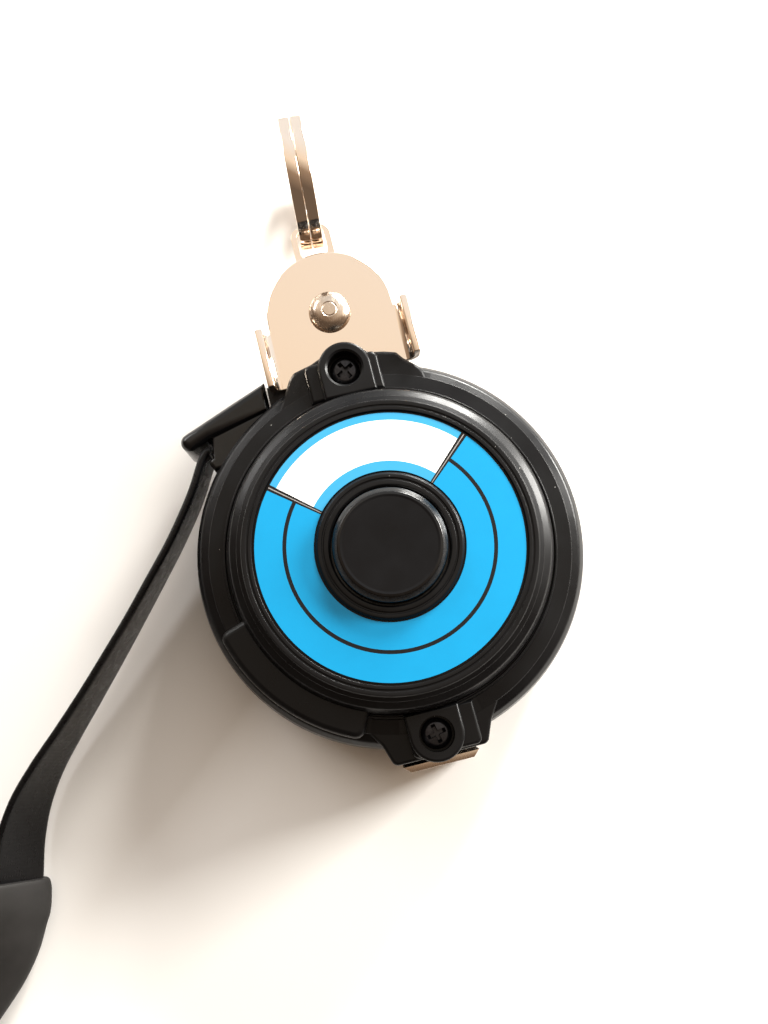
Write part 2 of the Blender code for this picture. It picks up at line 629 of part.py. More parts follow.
def swivel_link():
    """The flat link between the bracket plates: it swings on the rivet and holds the ring."""
    reach = EYE_Y - RIVET_Y
    tip = LINK_TIP_Y - RIVET_Y
    corner = 0.0026
    outline = [*arc((0, 0), LINK_BODY_R, math.radians(150), math.radians(390), 17),
               (LINK_TIP_HALF, reach - 0.0060),
               *arc((LINK_TIP_HALF - corner, tip - corner), corner, 0, math.pi / 2, 5),
               *arc((corner - LINK_TIP_HALF, tip - corner), corner, math.pi / 2, math.pi, 5),
               (-LINK_TIP_HALF, reach - 0.0060)]
    round_r = 0.0012
    eye = []
    for quarter, (sx, sy) in enumerate(((1, 1), (-1, 1), (-1, -1), (1, -1))):
        eye += arc((sx * (EYE_HALF_X - round_r), reach + sy * (EYE_HALF_Y - round_r)), round_r,
                   quarter * math.pi / 2, (quarter + 1) * math.pi / 2, 3)
    ob = flat("swivel_link", outline, LINK_Z, LINK_Z + LINK_T, "plated_steel",
              holes=(circle((0, 0), RIVET_R + RUN, 20), eye),
              matrix=Matrix.Translation((0, RIVET_Y, 0)))
    return ob


def split_ring():
    """A two-coil key ring of flat wire. The wire steps over just before it meets its own start."""
    bm_curve = bpy.data.curves.new("split_ring_section", "CURVE")
    bm_curve.dimensions = "2D"
    corner = 0.0006
    half_r, half_w = RING_RADIAL / 2, RING_WIDE / 2
    section = [(half_r, half_w - corner), (half_r - corner, half_w), (corner - half_r, half_w),
               (-half_r, half_w - corner), (-half_r, corner - half_w), (corner - half_r, -half_w),
               (half_r - corner, -half_w), (half_r, corner - half_w)]
    spline = bm_curve.splines.new("POLY")
    spline.points.add(len(section) - 1)
    for point, (x, y) in zip(spline.points, section):
        point.co = (x, y, 0, 1)
    spline.use_cyclic_u = True
    section_ob = place("split_ring_section", bm_curve, None)

    curve = bpy.data.curves.new("split_ring_wire", "CURVE")
    curve.dimensions = "3D"
    curve.twist_mode = "Z_UP"
    curve.bevel_mode = "OBJECT"
    curve.bevel_object = section_ob
    curve.use_fill_caps = True
    step_angle = 0.34
    turn = 2 * math.pi
    end = 2 * turn - step_angle - 0.05
    per_turn = 24
    count = int(end / turn * per_turn)
    pitch = (RING_WIDE + RING_GAP) / 2
    wire = curve.splines.new("POLY")
    wire.points.add(count)
    for i, point in enumerate(wire.points):
        angle = i * end / count
        rise = min(max((angle - (turn - step_angle - 0.02)) / step_angle, 0), 1)
        height = pitch * (2 * rise * rise * (3 - 2 * rise) - 1)
        point.co = (RING_R * math.cos(angle), RING_R * math.sin(angle), height, 1)
    ob = bpy.data.objects.new("split_ring_wire", curve)
    bpy.context.scene.collection.objects.link(ob)
    upright = Matrix.Rotation(math.radians(90), 4, "Y") @ Matrix.Rotation(RING_JOINT_TURN, 4, "Z")
    ring_z = RING_R + RING_RADIAL / 2 + RING_LIFT
    ob.matrix_world = (Matrix.Translation((0, EYE_Y, 0)) @ Matrix.Rotation(RING_YAW, 4, "Z")
                       @ Matrix.Translation((0, RING_R, ring_z)) @ upright)
    bpy.context.view_layer.update()
    return curve_to_mesh(ob, "split_ring", "plated_steel")


# ================================================================ drum, spring and brake
def drum_shaft():
    """A shouldered stud welded to the rear plate, slotted for the power spring's inner end."""
    profile = [(0, SHAFT_TOP_Z), (SHAFT_R - 0.0005, SHAFT_TOP_Z), (SHAFT_R, SHAFT_TOP_Z - 0.0005),
               (SHAFT_R, CLIP_Z + CLIP_T + GAP), (CLIP_GROOVE_R, CLIP_Z + CLIP_T + GAP),
               (CLIP_GROOVE_R, CLIP_Z - GAP), (SHAFT_R, CLIP_Z - GAP), (SHAFT_R, REAR_INSIDE_Z),
               (SHOULDER_R, REAR_INSIDE_Z), (SHOULDER_R, REAR_COVER_Z), (0, REAR_COVER_Z)]
    ob = turned("drum_shaft", profile, "turned_steel", 20, closed=False)
    cut(ob, box("shaft_slot", (-SHAFT_R - 0.001, -0.0007, SPRING_Z - 0.0004),
                (SHAFT_R + 0.001, 0.0007, SPRING_TOP_Z + 0.0004)))
    return ob


def drum():
    """Rear flange, web and hub in one moulding."""
    bush_hole = BUSH_SLEEVE_R + GAP
    flange_top = DRUM_Z + FLANGE_T
    profile = [(HUB_INSIDE_R, HUB_TOP_Z), (HUB_R, HUB_TOP_Z), (HUB_R, flange_top),
               (REAR_FLANGE_R, flange_top), (REAR_FLANGE_R, DRUM_Z), (bush_hole, DRUM_Z),
               (bush_hole, flange_top), (HUB_INSIDE_R, flange_top)]
    ob = turned("drum", profile, "drum_plastic", 36)
    for at in drum_screw_places():
        cut(ob, pin("drum_screw_cut", DRUM_SCREW_R + GAP, FRONT_FLANGE_TOP_Z - DRUM_SCREW_LONG - GAP,
                    HUB_TOP_Z + 0.001, at, steps=12))
    return ob


def drum_screw_places():
    first = math.radians(41)
    return arc((0, 0), DRUM_SCREW_AT, first, first + 2 * math.pi * (DRUM_SCREWS - 1) / DRUM_SCREWS,
               DRUM_SCREWS)


def drum_flange():
    """The front flange closes the hub over the power spring and is the brake's face."""
    ob = turned("drum_flange", ring_profile(BUSH_SLEEVE_R + GAP, FRONT_FLANGE_R, FRONT_FLANGE_Z,
                                            FRONT_FLANGE_TOP_Z), "drum_plastic", 36)
    for at in drum_screw_places():
        cut(ob, pin("flange_screw_cut", DRUM_SCREW_R + GAP, FRONT_FLANGE_Z - 0.001,
                    FRONT_FLANGE_TOP_Z + 0.001, at, steps=12))
    return ob


def drum_screw(name, at):
    seat = FRONT_FLANGE_TOP_Z + GAP
    top = seat + DRUM_SCREW_HEAD_T
    low = FRONT_FLANGE_TOP_Z - DRUM_SCREW_LONG
    profile = [(0, top), (DRUM_SCREW_HEAD_R - 0.0004, top), (DRUM_SCREW_HEAD_R, top - 0.0005),
               (DRUM_SCREW_HEAD_R, seat), (DRUM_SCREW_R, seat), (DRUM_SCREW_R, low), (0, low)]
    return turned(name, profile, "turned_steel", 14, (*at, 0), closed=False)


def bush(name, sleeve_end, flange_seat):
    """A flanged nylon bush; its flange lies on the seat and its sleeve goes through the wall."""
    inner = SHAFT_R + RUN
    far = flange_seat + BUSH_FLANGE_T
    profile = [(inner, far), (BUSH_FLANGE_R, far), (BUSH_FLANGE_R, flange_seat),
               (BUSH_SLEEVE_R, flange_seat), (BUSH_SLEEVE_R, sleeve_end), (inner, sleeve_end)]
    return turned(name, profile, "white_nylon", 20)


def shaft_clip():
    """A retaining ring in the shaft's groove, open on one side."""
    ob = turned("shaft_clip", ring_profile(CLIP_GROOVE_R + 0.0003, CLIP_R, CLIP_Z,
                                           CLIP_Z + CLIP_T), "spring_steel", 20)
    cut(ob, box("clip_mouth", (0, -0.0022, CLIP_Z - 0.001), (CLIP_R + 0.001, 0.0022, CLIP_Z + 0.002)))
    return ob


def spring_seat():
    return turned("spring_seat", ring_profile(SHAFT_R + RUN, SEAT_R, SEAT_Z, SEAT_Z + SEAT_T),
                  "turned_steel", 24)


def power_spring():
    """A flat spiral of strip steel from the shaft's slot to the hub wall."""
    outer = HUB_INSIDE_R - 0.0006
    pitch = (outer - SPRING_IN_R) / SPRING_TURNS
    per_turn = 14
    middle = []
    for i in range(SPRING_TURNS * per_turn + 1):
        angle = 2 * math.pi * i / per_turn
        radius = SPRING_IN_R + pitch * i / per_turn
        middle.append((radius, angle))
    half = SPRING_T / 2
    outside = [((r + half) * math.cos(a), (r + half) * math.sin(a)) for r, a in middle]
    inside = [((r - half) * math.cos(a), (r - half) * math.sin(a)) for r, a in middle]
    tail = [(0.0010, -half), (0.0010, half)]
    outline = [*outside, *inside[:0:-1], (inside[0][0], half), *tail[::-1]]
    return flat("power_spring", outline, SPRING_Z, SPRING_TOP_Z, "spring_steel")


def webbing_coil():
    """The webbing wound on the hub."""
    return turned("webbing_coil", ring_profile(HUB_R + GAP, COIL_R, COIL_Z, COIL_TOP_Z),
                  "black_webbing", 36)


def webbing_lead():
    """The webbing inside the case, from the top of the coil to the outlet."""
    start_y = COIL_R + GAP + WEB_T / 2
    route = [(-0.0006, start_y, WEB_MID_Z, 0), (-0.0120, start_y - 0.0001, WEB_MID_Z, 0),
             (-0.0240, 0.0341, WEB_MID_Z, 0), (-0.0349, 0.0337, WEB_MID_Z, 0)]
    return strap("webbing_lead", route, WEB_WIDE - 0.0002, WEB_T, "black_webbing")


def stop_button():
    """The push button: a hollow cap with a skirt that cannot pass the bezel."""
    inner = BUTTON_R - BUTTON_WALL
    under = BUTTON_TOP_Z - BUTTON_TOP_T
    skirt_top = FACE_INSIDE_Z - GAP
    profile = [(0, BUTTON_TOP_Z), (BUTTON_R - 0.0016, BUTTON_TOP_Z),
               (BUTTON_R - 0.0005, BUTTON_TOP_Z - 0.0004), (BUTTON_R, BUTTON_TOP_Z - 0.0014),
               (BUTTON_R, skirt_top), (SKIRT_R, skirt_top), (SKIRT_R, SKIRT_Z), (inner, SKIRT_Z),
               (inner, under), (0, under)]
    return turned("stop_button", profile, "gloss_black", 32, closed=False)


def brake_pad():
    return turned("brake_pad", ring_profile(BUTTON_R - BUTTON_WALL, SKIRT_R - 0.0002, PAD_Z,
                                            PAD_Z + PAD_T), "brake_rubber", 28)


def button_spring():
    """The coil spring that lifts the button off the brake."""
    low = SEAT_Z + SEAT_T + GAP + BUTTON_WIRE / 2
    high = BUTTON_TOP_Z - BUTTON_TOP_T - GAP - BUTTON_WIRE / 2
    turns = 4
    per_turn = 10
    curve = bpy.data.curves.new("button_spring", "CURVE")
    curve.dimensions = "3D"
    curve.bevel_depth = BUTTON_WIRE / 2
    curve.bevel_resolution = 1
    curve.use_fill_caps = True
    spline = curve.splines.new("POLY")
    spline.points.add(turns * per_turn)
    for i, point in enumerate(spline.points):
        angle = 2 * math.pi * i / per_turn
        share = min(max((i / per_turn - 0.6) / (turns - 1.2), 0), 1)
        point.co = (BUTTON_COIL_R * math.cos(angle), BUTTON_COIL_R * math.sin(angle),
                    low + (high - low) * share, 1)
    return place("button_spring", curve, "spring_steel")


# ================================================================ lanyard and hook
def hook_frame():
    """The hook's own frame on the table: x across it, y from its swivel to its nose."""
    return (Matrix.Translation((HOOK_X, EYE_BAR_Y - EYE_REACH, HOOK_MID_Z))
            @ Matrix.Rotation(math.pi, 4, "Z"))


def along_hook(name, profile, finish, steps=20):
    """A turned piece on the hook's long axis; the profile's height runs towards the nose."""
    ob = turned(name, profile, finish, steps, closed=False)
    ob.matrix_world = hook_frame() @ Matrix.Rotation(math.radians(-90), 4, "X")
    return ob


def hook_flat(name, outline, half_t, finish, holes=()):
    return flat(name, outline, -half_t, half_t, finish, holes, hook_frame())


def hook_bar(name, radius, half_t, at, finish=None):
    ob = pin(name, radius, -half_t, half_t, (0, 0), finish, 16)
    ob.matrix_world = hook_frame() @ Matrix.Translation((*at, 0))
    return ob


def end_sleeve():
    """The doubled, sewn end of the webbing in its protective sleeve."""
    return strap("end_sleeve", SLEEVE_ROUTE, SLEEVE_WIDE, SLEEVE_T, "black_webbing")


def webbing_eye():
    """The loop of webbing round the hook eye's bar."""
    room_y = EYE_BAR / 2 + 0.00035
    room_z = HOOK_T / 2 + 0.00035
    start_y = SLEEVE_ROUTE[-1][1] - 3 * GAP
    far_y = EYE_BAR_Y - room_y - WEB_T
    top_z = room_z + WEB_T
    corner = 0.0034
    outline = [(start_y, -0.0024), (start_y, 0.0024), (EYE_BAR_Y + room_y + 0.0012, top_z),
               *arc((far_y + corner, top_z - corner), corner, math.pi / 2, math.pi, 5),
               *arc((far_y + corner, corner - top_z), corner, math.pi, 1.5 * math.pi, 5),
               (EYE_BAR_Y + room_y + 0.0012, -top_z)]
    hole = [(EYE_BAR_Y + room_y, room_z), (EYE_BAR_Y - room_y, room_z),
            (EYE_BAR_Y - room_y, -room_z), (EYE_BAR_Y + room_y, -room_z)]
    upright = Matrix.Rotation(math.radians(90), 4, "Z") @ Matrix.Rotation(math.radians(90), 4, "X")
    return flat("webbing_eye", outline, -WEB_WIDE / 2, WEB_WIDE / 2, "black_webbing",
                holes=(hole,), matrix=Matrix.Translation((HOOK_X, 0, HOOK_MID_Z)) @ upright)


def hook_eye():
    """The forged eye that the webbing loops through; the hook's stem turns in its base."""
    half = 0.0120
    corner = 0.0035
    far = -(EYE_REACH + EYE_BAR / 2)
    outline = [(-0.0070, -GAP), (-half, -0.0045),
               *arc((corner - half, far + corner), corner, math.pi, 1.5 * math.pi, 5),
               *arc((half - corner, far + corner), corner, 1.5 * math.pi, 2 * math.pi, 5),
               (half, -0.0045), (0.0070, -GAP)]
    inside = [(-0.0085, -EYE_BASE), (-0.0085, far + EYE_BAR), (0.0085, far + EYE_BAR),
              (0.0085, -EYE_BASE)]
    ob = hook_flat("hook_eye", outline, HOOK_T / 2, "forged_alloy", (inside,))
    cut(ob, along_hook("eye_stem_cut", disc_profile(STEM_R + RUN, -EYE_BASE - 0.001, 0.001), None))
    return ob


def hook_body():
    """The hook: stem and head in the eye, slotted base, spine and nose."""
    nose = (0, NOSE_Y)
    outline = [(-0.0065, 0), (0.0065, 0), (0.0095, 0.0050), (0.0140, 0.0180), (NOSE_OUT_R, 0.0320),
               *arc(nose, NOSE_OUT_R, 0, math.pi, 15), (-NOSE_OUT_R, GATE_TIP_Y + 0.0010),
               (-NOSE_IN_R, GATE_TIP_Y + 0.0010), *arc(nose, NOSE_IN_R, math.pi, 0, 11),
               (NOSE_IN_R, 0.0380), (0.0040, 0.0300), (-0.0040, 0.0285), (-0.0125, 0.0270),
               (-0.0140, 0.0200), (-0.0100, 0.0060)]
    ob = hook_flat("hook_body", outline, HOOK_T / 2, "forged_alloy")
    soften(ob, 0.0008, 1, 50)
    head = STEM_R + 0.0011
    join(ob, along_hook("stem", [(0, 0.0010), (STEM_R, 0.0010), (STEM_R, -EYE_BASE - GAP),
                                 (head, -EYE_BASE - GAP), (head, -EYE_BASE - 0.0018),
                                 (0, -EYE_BASE - 0.0018)][::-1], None))
    slot = box("hook_slot", (-0.0180, 0.0090, -HOOK_SLOT), (0.0220, 0.0310, HOOK_SLOT))
    slot.matrix_world = hook_frame()
    cut(ob, slot)
    for at in (GATE_AT, LOCK_AT):
        cut(ob, hook_bar("hook_pin_cut", HOOK_PIN_R + RUN, HOOK_T, at))
    return ob


def hook_gate():
    """The sprung gate: a thin hub in the slot and a thick bar that closes the hook."""
    leaf = HOOK_SLOT - GAP
    bar = [(-0.0160, 0.0290), (-0.0100, 0.0290), (-0.0100, GATE_TIP_Y - 0.0010),
           (-0.0110, GATE_TIP_Y), (-0.0150, GATE_TIP_Y), (-0.0160, GATE_TIP_Y - 0.0010)]
    hub = [*arc(GATE_AT, 0.0040, math.radians(190), math.radians(370), 9), (-0.0100, 0.0310),
           (-0.0160, 0.0310), (-0.0160, 0.0240)]
    ob = hook_flat("hook_gate", hub, leaf, "forged_alloy")
    join(ob, hook_flat("gate_bar", bar, HOOK_T / 2 - 0.0005, None))
    cut(ob, hook_bar("gate_pin_cut", HOOK_PIN_R + RUN, HOOK_T, GATE_AT))
    return ob


def hook_lock():
    """The lever on the spine that has to be squeezed before the gate opens."""
    leaf = HOOK_SLOT - GAP
    outline = [*arc(LOCK_AT, 0.0032, math.radians(120), math.radians(310), 9), (0.0180, 0.0180),
               (0.0235, 0.0310), (0.0228, 0.0350), (0.0196, 0.0350), (0.0192, 0.0315),
               (0.0140, 0.0215)]
    ob = hook_flat("hook_lock", outline, leaf, "forged_alloy")
    cut(ob, hook_bar("lock_pin_cut", HOOK_PIN_R + RUN, HOOK_T, LOCK_AT))
    return ob


# ================================================================ assembly
rear_cover()
front_cover()
label_ring()
bezel_ring()
case_screw("case_screw_top", SCREW_TOP_Y)
case_screw("case_screw_bottom", SCREW_BOTTOM_Y)
outlet_guide()
rear_plate()
front_bracket()
bracket_rivet()
swivel_link()
split_ring()
drum_shaft()
drum()
drum_flange()
for number, place_at in enumerate(drum_screw_places(), start=1):
    drum_screw(f"drum_screw_{number}", place_at)
bush("rear_bush", DRUM_Z, REAR_BUSH_SEAT_Z)
bush("front_bush", FRONT_FLANGE_Z, FRONT_BUSH_SEAT_Z)
shaft_clip()
spring_seat()
power_spring()
webbing_coil()
webbing_lead()
stop_button()
brake_pad()
button_spring()
strap("webbing_tail", WEBBING_ROUTE, WEB_WIDE, WEB_T, "black_webbing")
end_sleeve()
webbing_eye()
hook_eye()
hook_body()
hook_gate()
hook_lock()
hook_bar("gate_pin", HOOK_PIN_R, HOOK_T / 2, GATE_AT, "turned_steel")
hook_bar("lock_pin", HOOK_PIN_R, HOOK_T / 2, LOCK_AT, "turned_steel")
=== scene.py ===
# %% [markdown]
# # A self retracting lifeline
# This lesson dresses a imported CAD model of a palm-sized webbing reel. The CAD gives the sizes
# and the joints, and each piece here stands for a CAD node, in the same place, with the edges,
# textures and small parts that the eye looks for. Everything is in metres, +Z is up out of the
# reel's face, and the origin is the middle of its back.

# %% Load the frame
import math

import bmesh
import bpy
from mathutils import Matrix, Vector


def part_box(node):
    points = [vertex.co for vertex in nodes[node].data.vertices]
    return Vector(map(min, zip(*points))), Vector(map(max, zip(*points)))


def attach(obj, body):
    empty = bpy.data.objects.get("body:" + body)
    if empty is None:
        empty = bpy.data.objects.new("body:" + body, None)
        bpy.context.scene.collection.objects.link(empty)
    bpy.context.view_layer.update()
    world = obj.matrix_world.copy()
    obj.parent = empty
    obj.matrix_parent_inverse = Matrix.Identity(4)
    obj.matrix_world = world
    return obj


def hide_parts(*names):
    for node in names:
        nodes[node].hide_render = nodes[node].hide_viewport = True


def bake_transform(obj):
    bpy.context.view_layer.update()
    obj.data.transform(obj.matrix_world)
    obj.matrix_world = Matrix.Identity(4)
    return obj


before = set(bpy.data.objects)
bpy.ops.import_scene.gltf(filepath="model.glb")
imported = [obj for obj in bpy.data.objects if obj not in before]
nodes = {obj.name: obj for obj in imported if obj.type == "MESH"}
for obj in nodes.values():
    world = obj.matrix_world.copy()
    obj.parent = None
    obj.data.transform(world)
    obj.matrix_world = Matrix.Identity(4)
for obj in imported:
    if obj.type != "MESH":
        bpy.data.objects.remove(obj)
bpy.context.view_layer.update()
print("loaded", len(nodes), "nodes")

# %% [markdown]
# ## Camera
# A hand-held phone looked almost straight down from about 29 cm. A camera's frame is easiest to
# build as turns: start looking straight down, lean back a little, then turn by the angle at
# which the reel lies on the table.

# %% Camera
REEL_TURN = math.radians(-14.1)      # how the reel lies, against the camera's upright
LEAN = math.radians(8.48)
SIDE_LEAN = math.radians(0.29)
camera = bpy.data.objects.new("camera", bpy.data.cameras.new("camera"))
camera.data.lens = 41.48
camera.data.sensor_width = 36.0
camera.data.clip_start = 0.01
eye_place = Matrix.Rotation(REEL_TURN, 4, "Z") @ Matrix.Translation((-0.00005, -0.0311, 0.292))
camera.matrix_world = (eye_place @ Matrix.Rotation(LEAN, 4, "X")
                       @ Matrix.Rotation(SIDE_LEAN, 4, "Y"))
bpy.context.scene.collection.objects.link(camera)
bpy.context.scene.camera = camera
print("camera at", [round(value, 4) for value in camera.matrix_world.translation])

# %% [markdown]
# ## Helpers for shapes
# Most pieces are one of three things: something turned, something cut from a plate, or
# something swept along a route. One helper for each keeps the later cells short, and a fourth
# hands the finished mesh to its body.

# %% Finished mesh to piece
def shade(mesh, sharp):
    """Smooth shading up to the sharp angle; broad many-cornered faces are flat."""
    mesh.shade_smooth()
    mesh.set_sharp_from_angle(angle=math.radians(sharp))
    for polygon in mesh.polygons:
        if len(polygon.vertices) > 4:
            polygon.use_smooth = False


def piece_from(bm, name, materials, sharp=32):
    """Make an object at the origin from a bmesh, shaded smooth up to the sharp angle."""
    mesh = bpy.data.meshes.new(name)
    bm.to_mesh(mesh)
    bm.free()
    for material in materials:
        mesh.materials.append(material)
    shade(mesh, sharp)
    piece = bpy.data.objects.new(name, mesh)
    bpy.context.scene.collection.objects.link(piece)
    return piece


def settle(piece, body, slot, *replaced):
    """Let a piece ride on its body in place of CAD nodes, and say how big it is."""
    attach(piece, body)
    if replaced:
        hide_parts(*replaced)
    bm = bmesh.new()
    bm.from_mesh(piece.data)
    loose = sum(1 for edge in bm.edges if len(edge.link_faces) != 2)
    bm.free()
    size = [round(value * 1000, 1) for value in piece.dimensions]
    print(piece.name, size, "mm,", len(piece.data.polygons), "faces,", loose, "open edges")
    return piece


# %% Outlines with rounded corners
def rounded(corners, steps=5):
    """Turn (x, y, radius) corners into points, with an arc at every corner that has a radius."""
    path = []
    neighbours = zip(corners[-1:] + corners[:-1], corners, corners[1:] + corners[:1])
    for before, (x, y, radius), after in neighbours:
        here = Vector((x, y))
        if not radius:
            path.append(here)
            continue
        a = (Vector(before[:2]) - here).normalized()
        b = (Vector(after[:2]) - here).normalized()
        half = a.angle(b) / 2
        centre = here + (a + b).normalized() * radius / math.sin(half)
        start = here + a * radius / math.tan(half) - centre
        end = here + b * radius / math.tan(half) - centre
        for step in range(steps + 1):
            part = step / steps
            path.append(centre + (start * (1 - part) + end * part).normalized() * radius)
    return path


def arc(centre, radius, start, end, steps):
    """Points along an arc; the angles are in degrees."""
    angles = [math.radians(start + (end - start) * step / steps) for step in range(steps + 1)]
    return [Vector((centre[0] + radius * math.cos(a), centre[1] + radius * math.sin(a)))
            for a in angles]


# %% Turned shapes
def turned(profile, steps=96, at=(0, 0), closed=True):
    """Spin a profile of (radius, height) once round Z."""
    bm = bmesh.new()
    verts = [bm.verts.new((point[0], 0, point[1])) for point in profile]
    ends = verts[1:] + verts[:1] if closed else verts[1:]
    edges = [bm.edges.new(pair) for pair in zip(verts, ends)]
    bmesh.ops.spin(bm, geom=verts + edges, cent=(0, 0, 0), axis=(0, 0, 1),
                   angle=2 * math.pi, steps=steps, use_merge=True)
    bmesh.ops.remove_doubles(bm, verts=bm.verts, dist=1e-6)
    bmesh.ops.translate(bm, verts=bm.verts, vec=(at[0], at[1], 0))
    bmesh.ops.recalc_face_normals(bm, faces=bm.faces)
    return bm


# %% Plates
def plate(outline, low, high, soft=0.0, segments=3, both=False):
    """Extrude an outline from low to high and round its upper edge, or both edges."""
    bm = bmesh.new()
    face = bm.faces.new([bm.verts.new((x, y, low)) for x, y in outline])
    grown = bmesh.ops.extrude_face_region(bm, geom=[face])["geom"]
    top = [item for item in grown if isinstance(item, bmesh.types.BMVert)]
    bmesh.ops.translate(bm, verts=top, vec=(0, 0, high - low))
    bmesh.ops.recalc_face_normals(bm, faces=bm.faces)
    if soft:
        levels = (low, high) if both else (high,)
        rims = [edge for edge in bm.edges
                if any(all(abs(v.co.z - level) < 1e-7 for v in edge.verts) for level in levels)]
        bmesh.ops.bevel(bm, geom=rims, offset=soft, offset_type="OFFSET", segments=segments,
                        profile=0.5, affect="EDGES", clamp_overlap=False, material=-1)
    return bm


# %% Joining and cutting
def carve(piece, steps):
    """Apply Boolean steps of (operation, bmesh) to a piece, one after another."""
    tools = []
    for operation, bm in steps:
        mesh = bpy.data.meshes.new("tool")
        bm.to_mesh(mesh)
        bm.free()
        tool = bpy.data.objects.new("tool", mesh)
        bpy.context.scene.collection.objects.link(tool)
        tools.append(tool)
        boolean = piece.modifiers.new(operation.lower(), "BOOLEAN")
        boolean.operation = operation
        boolean.solver = "EXACT"
        boolean.object = tool
    apply_all(piece)
    for tool in tools:
        mesh = tool.data
        bpy.data.objects.remove(tool)
        bpy.data.meshes.remove(mesh)
    return piece


def apply_all(piece, sharp=32):
    """Replace a piece's mesh by its evaluated one and take the modifiers off."""
    graph = bpy.context.evaluated_depsgraph_get()
    mesh = bpy.data.meshes.new_from_object(piece.evaluated_get(graph))
    piece.modifiers.clear()
    old = piece.data
    piece.data = mesh
    bpy.data.meshes.remove(old)
    mesh.name = piece.name
    shade(mesh, sharp)
    return piece


# %% Softened copies of CAD nodes
def softened(node, name, soft, materials, segments=2, angle=38):
    """Copy a CAD node, merge it, clear its flat faces and round its edges."""
    bm = bmesh.new()
    bm.from_mesh(nodes[node].data)
    bmesh.ops.remove_doubles(bm, verts=bm.verts, dist=2e-6)
    bmesh.ops.dissolve_limit(bm, angle_limit=math.radians(0.6), verts=bm.verts, edges=bm.edges)
    piece = piece_from(bm, name, materials)
    piece.data.materials.clear()
    for material in materials:
        piece.data.materials.append(material)
    bevel = piece.modifiers.new("edges", "BEVEL")
    bevel.width = soft
    bevel.segments = segments
    bevel.limit_method = "ANGLE"
    bevel.angle_limit = math.radians(angle)
    return apply_all(piece)


# %% [markdown]
# ## Helpers for finishes
# A hex colour is what a paint chart gives, and the shader wants linear light. One function
# turns the first into the second, and one adds a node with its settings and links.

# %% Colour and nodes
def linear(hexcode):
    """An sRGB hex colour as linear RGBA."""
    values = [int(hexcode[i:i + 2], 16) / 255 for i in (1, 3, 5)]
    return (*[v / 12.92 if v <= 0.04045 else ((v + 0.055) / 1.055) ** 2.4 for v in values], 1.0)


def add(tree, kind, inputs=None, **settings):
    """Add a node. An input is a number, a colour, or another node's output to link."""
    node = tree.nodes.new(kind)
    for key, value in settings.items():
        setattr(node, key, value)
    for key, value in (inputs or {}).items():
        if isinstance(value, bpy.types.NodeSocket):
            tree.links.new(value, node.inputs[key])
        else:
            node.inputs[key].default_value = value
    return node


def material_base(name, colour, roughness, metallic=0.0, **sockets):
    """A material with its plain values set on the shader's own sockets."""
    material = bpy.data.materials.new(name)
    material.use_nodes = True
    tree = material.node_tree
    shader = tree.nodes["Principled BSDF"]
    shader.inputs["Base Color"].default_value = linear(colour)
    shader.inputs["Roughness"].default_value = roughness
    shader.inputs["Metallic"].default_value = metallic
    for key, value in sockets.items():
        shader.inputs[key.replace("_", " ")].default_value = value
    return material, tree, shader


MM = 0.001
print("helpers ready")

# %% [markdown]
# ## Moulded ABS
# The case is black ABS from a spark-eroded mould, which leaves a grain of about a quarter of a
# millimetre and a satin gloss that wanders a little. A few grains of dust sit on it, because
# black plastic always shows some.

# %% Moulded ABS
case_abs, tree, shader = material_base("moulded_abs", "#0D0D0E", 0.4, Specular_IOR_Level=0.2)
place = add(tree, "ShaderNodeTexCoord").outputs["Object"]
grain = add(tree, "ShaderNodeTexNoise", {"Vector": place, "Scale": 1 / (0.25 * MM), "Detail": 2.0})
cloud = add(tree, "ShaderNodeTexNoise", {"Vector": place, "Scale": 1 / (9 * MM), "Detail": 3.0})
gloss = add(tree, "ShaderNodeMapRange", {"Value": cloud.outputs["Fac"], "From Min": 0.3,
                                         "From Max": 0.7, "To Min": 0.25, "To Max": 0.36})
cells = add(tree, "ShaderNodeTexVoronoi", {"Vector": place, "Scale": 1 / (3.6 * MM)})
speck = add(tree, "ShaderNodeMath", {0: cells.outputs["Distance"], 1: 0.028}, operation="LESS_THAN")
tint = add(tree, "ShaderNodeMix", {0: cloud.outputs["Fac"], 6: linear("#0B0B0C"),
                                   7: linear("#131314")}, data_type="RGBA")
dusty = add(tree, "ShaderNodeMix", {0: speck.outputs[0], 6: tint.outputs[2],
                                    7: linear("#B9B7B2")}, data_type="RGBA")
tree.links.new(dusty.outputs[2], shader.inputs["Base Color"])
tree.links.new(gloss.outputs["Result"], shader.inputs["Roughness"])
bump = add(tree, "ShaderNodeBump", {"Height": grain.outputs["Fac"], "Strength": 0.22,
                                    "Distance": 0.03 * MM})
tree.links.new(bump.outputs["Normal"], shader.inputs["Normal"])
print("moulded ABS")

# %% [markdown]
# ## Polished mouldings
# The button and the webbing's outlet are polished, since webbing and a thumb slide over them.
# Polished ABS keeps only long, shallow waves from the way it cooled.

# %% Polished ABS
polished_abs, tree, shader = material_base("polished_abs", "#060607", 0.2, Specular_IOR_Level=0.4)
place = add(tree, "ShaderNodeTexCoord").outputs["Object"]
waves = add(tree, "ShaderNodeTexNoise", {"Vector": place, "Scale": 1 / (4 * MM), "Detail": 2.0})
rub = add(tree, "ShaderNodeTexNoise", {"Vector": place, "Scale": 1 / (1.2 * MM), "Detail": 4.0})
gloss = add(tree, "ShaderNodeMapRange", {"Value": rub.outputs["Fac"], "From Min": 0.35,
                                         "From Max": 0.7, "To Min": 0.14, "To Max": 0.27})
tree.links.new(gloss.outputs["Result"], shader.inputs["Roughness"])
bump = add(tree, "ShaderNodeBump", {"Height": waves.outputs["Fac"], "Strength": 0.35,
                                    "Distance": 0.12 * MM})
tree.links.new(bump.outputs["Normal"], shader.inputs["Normal"])

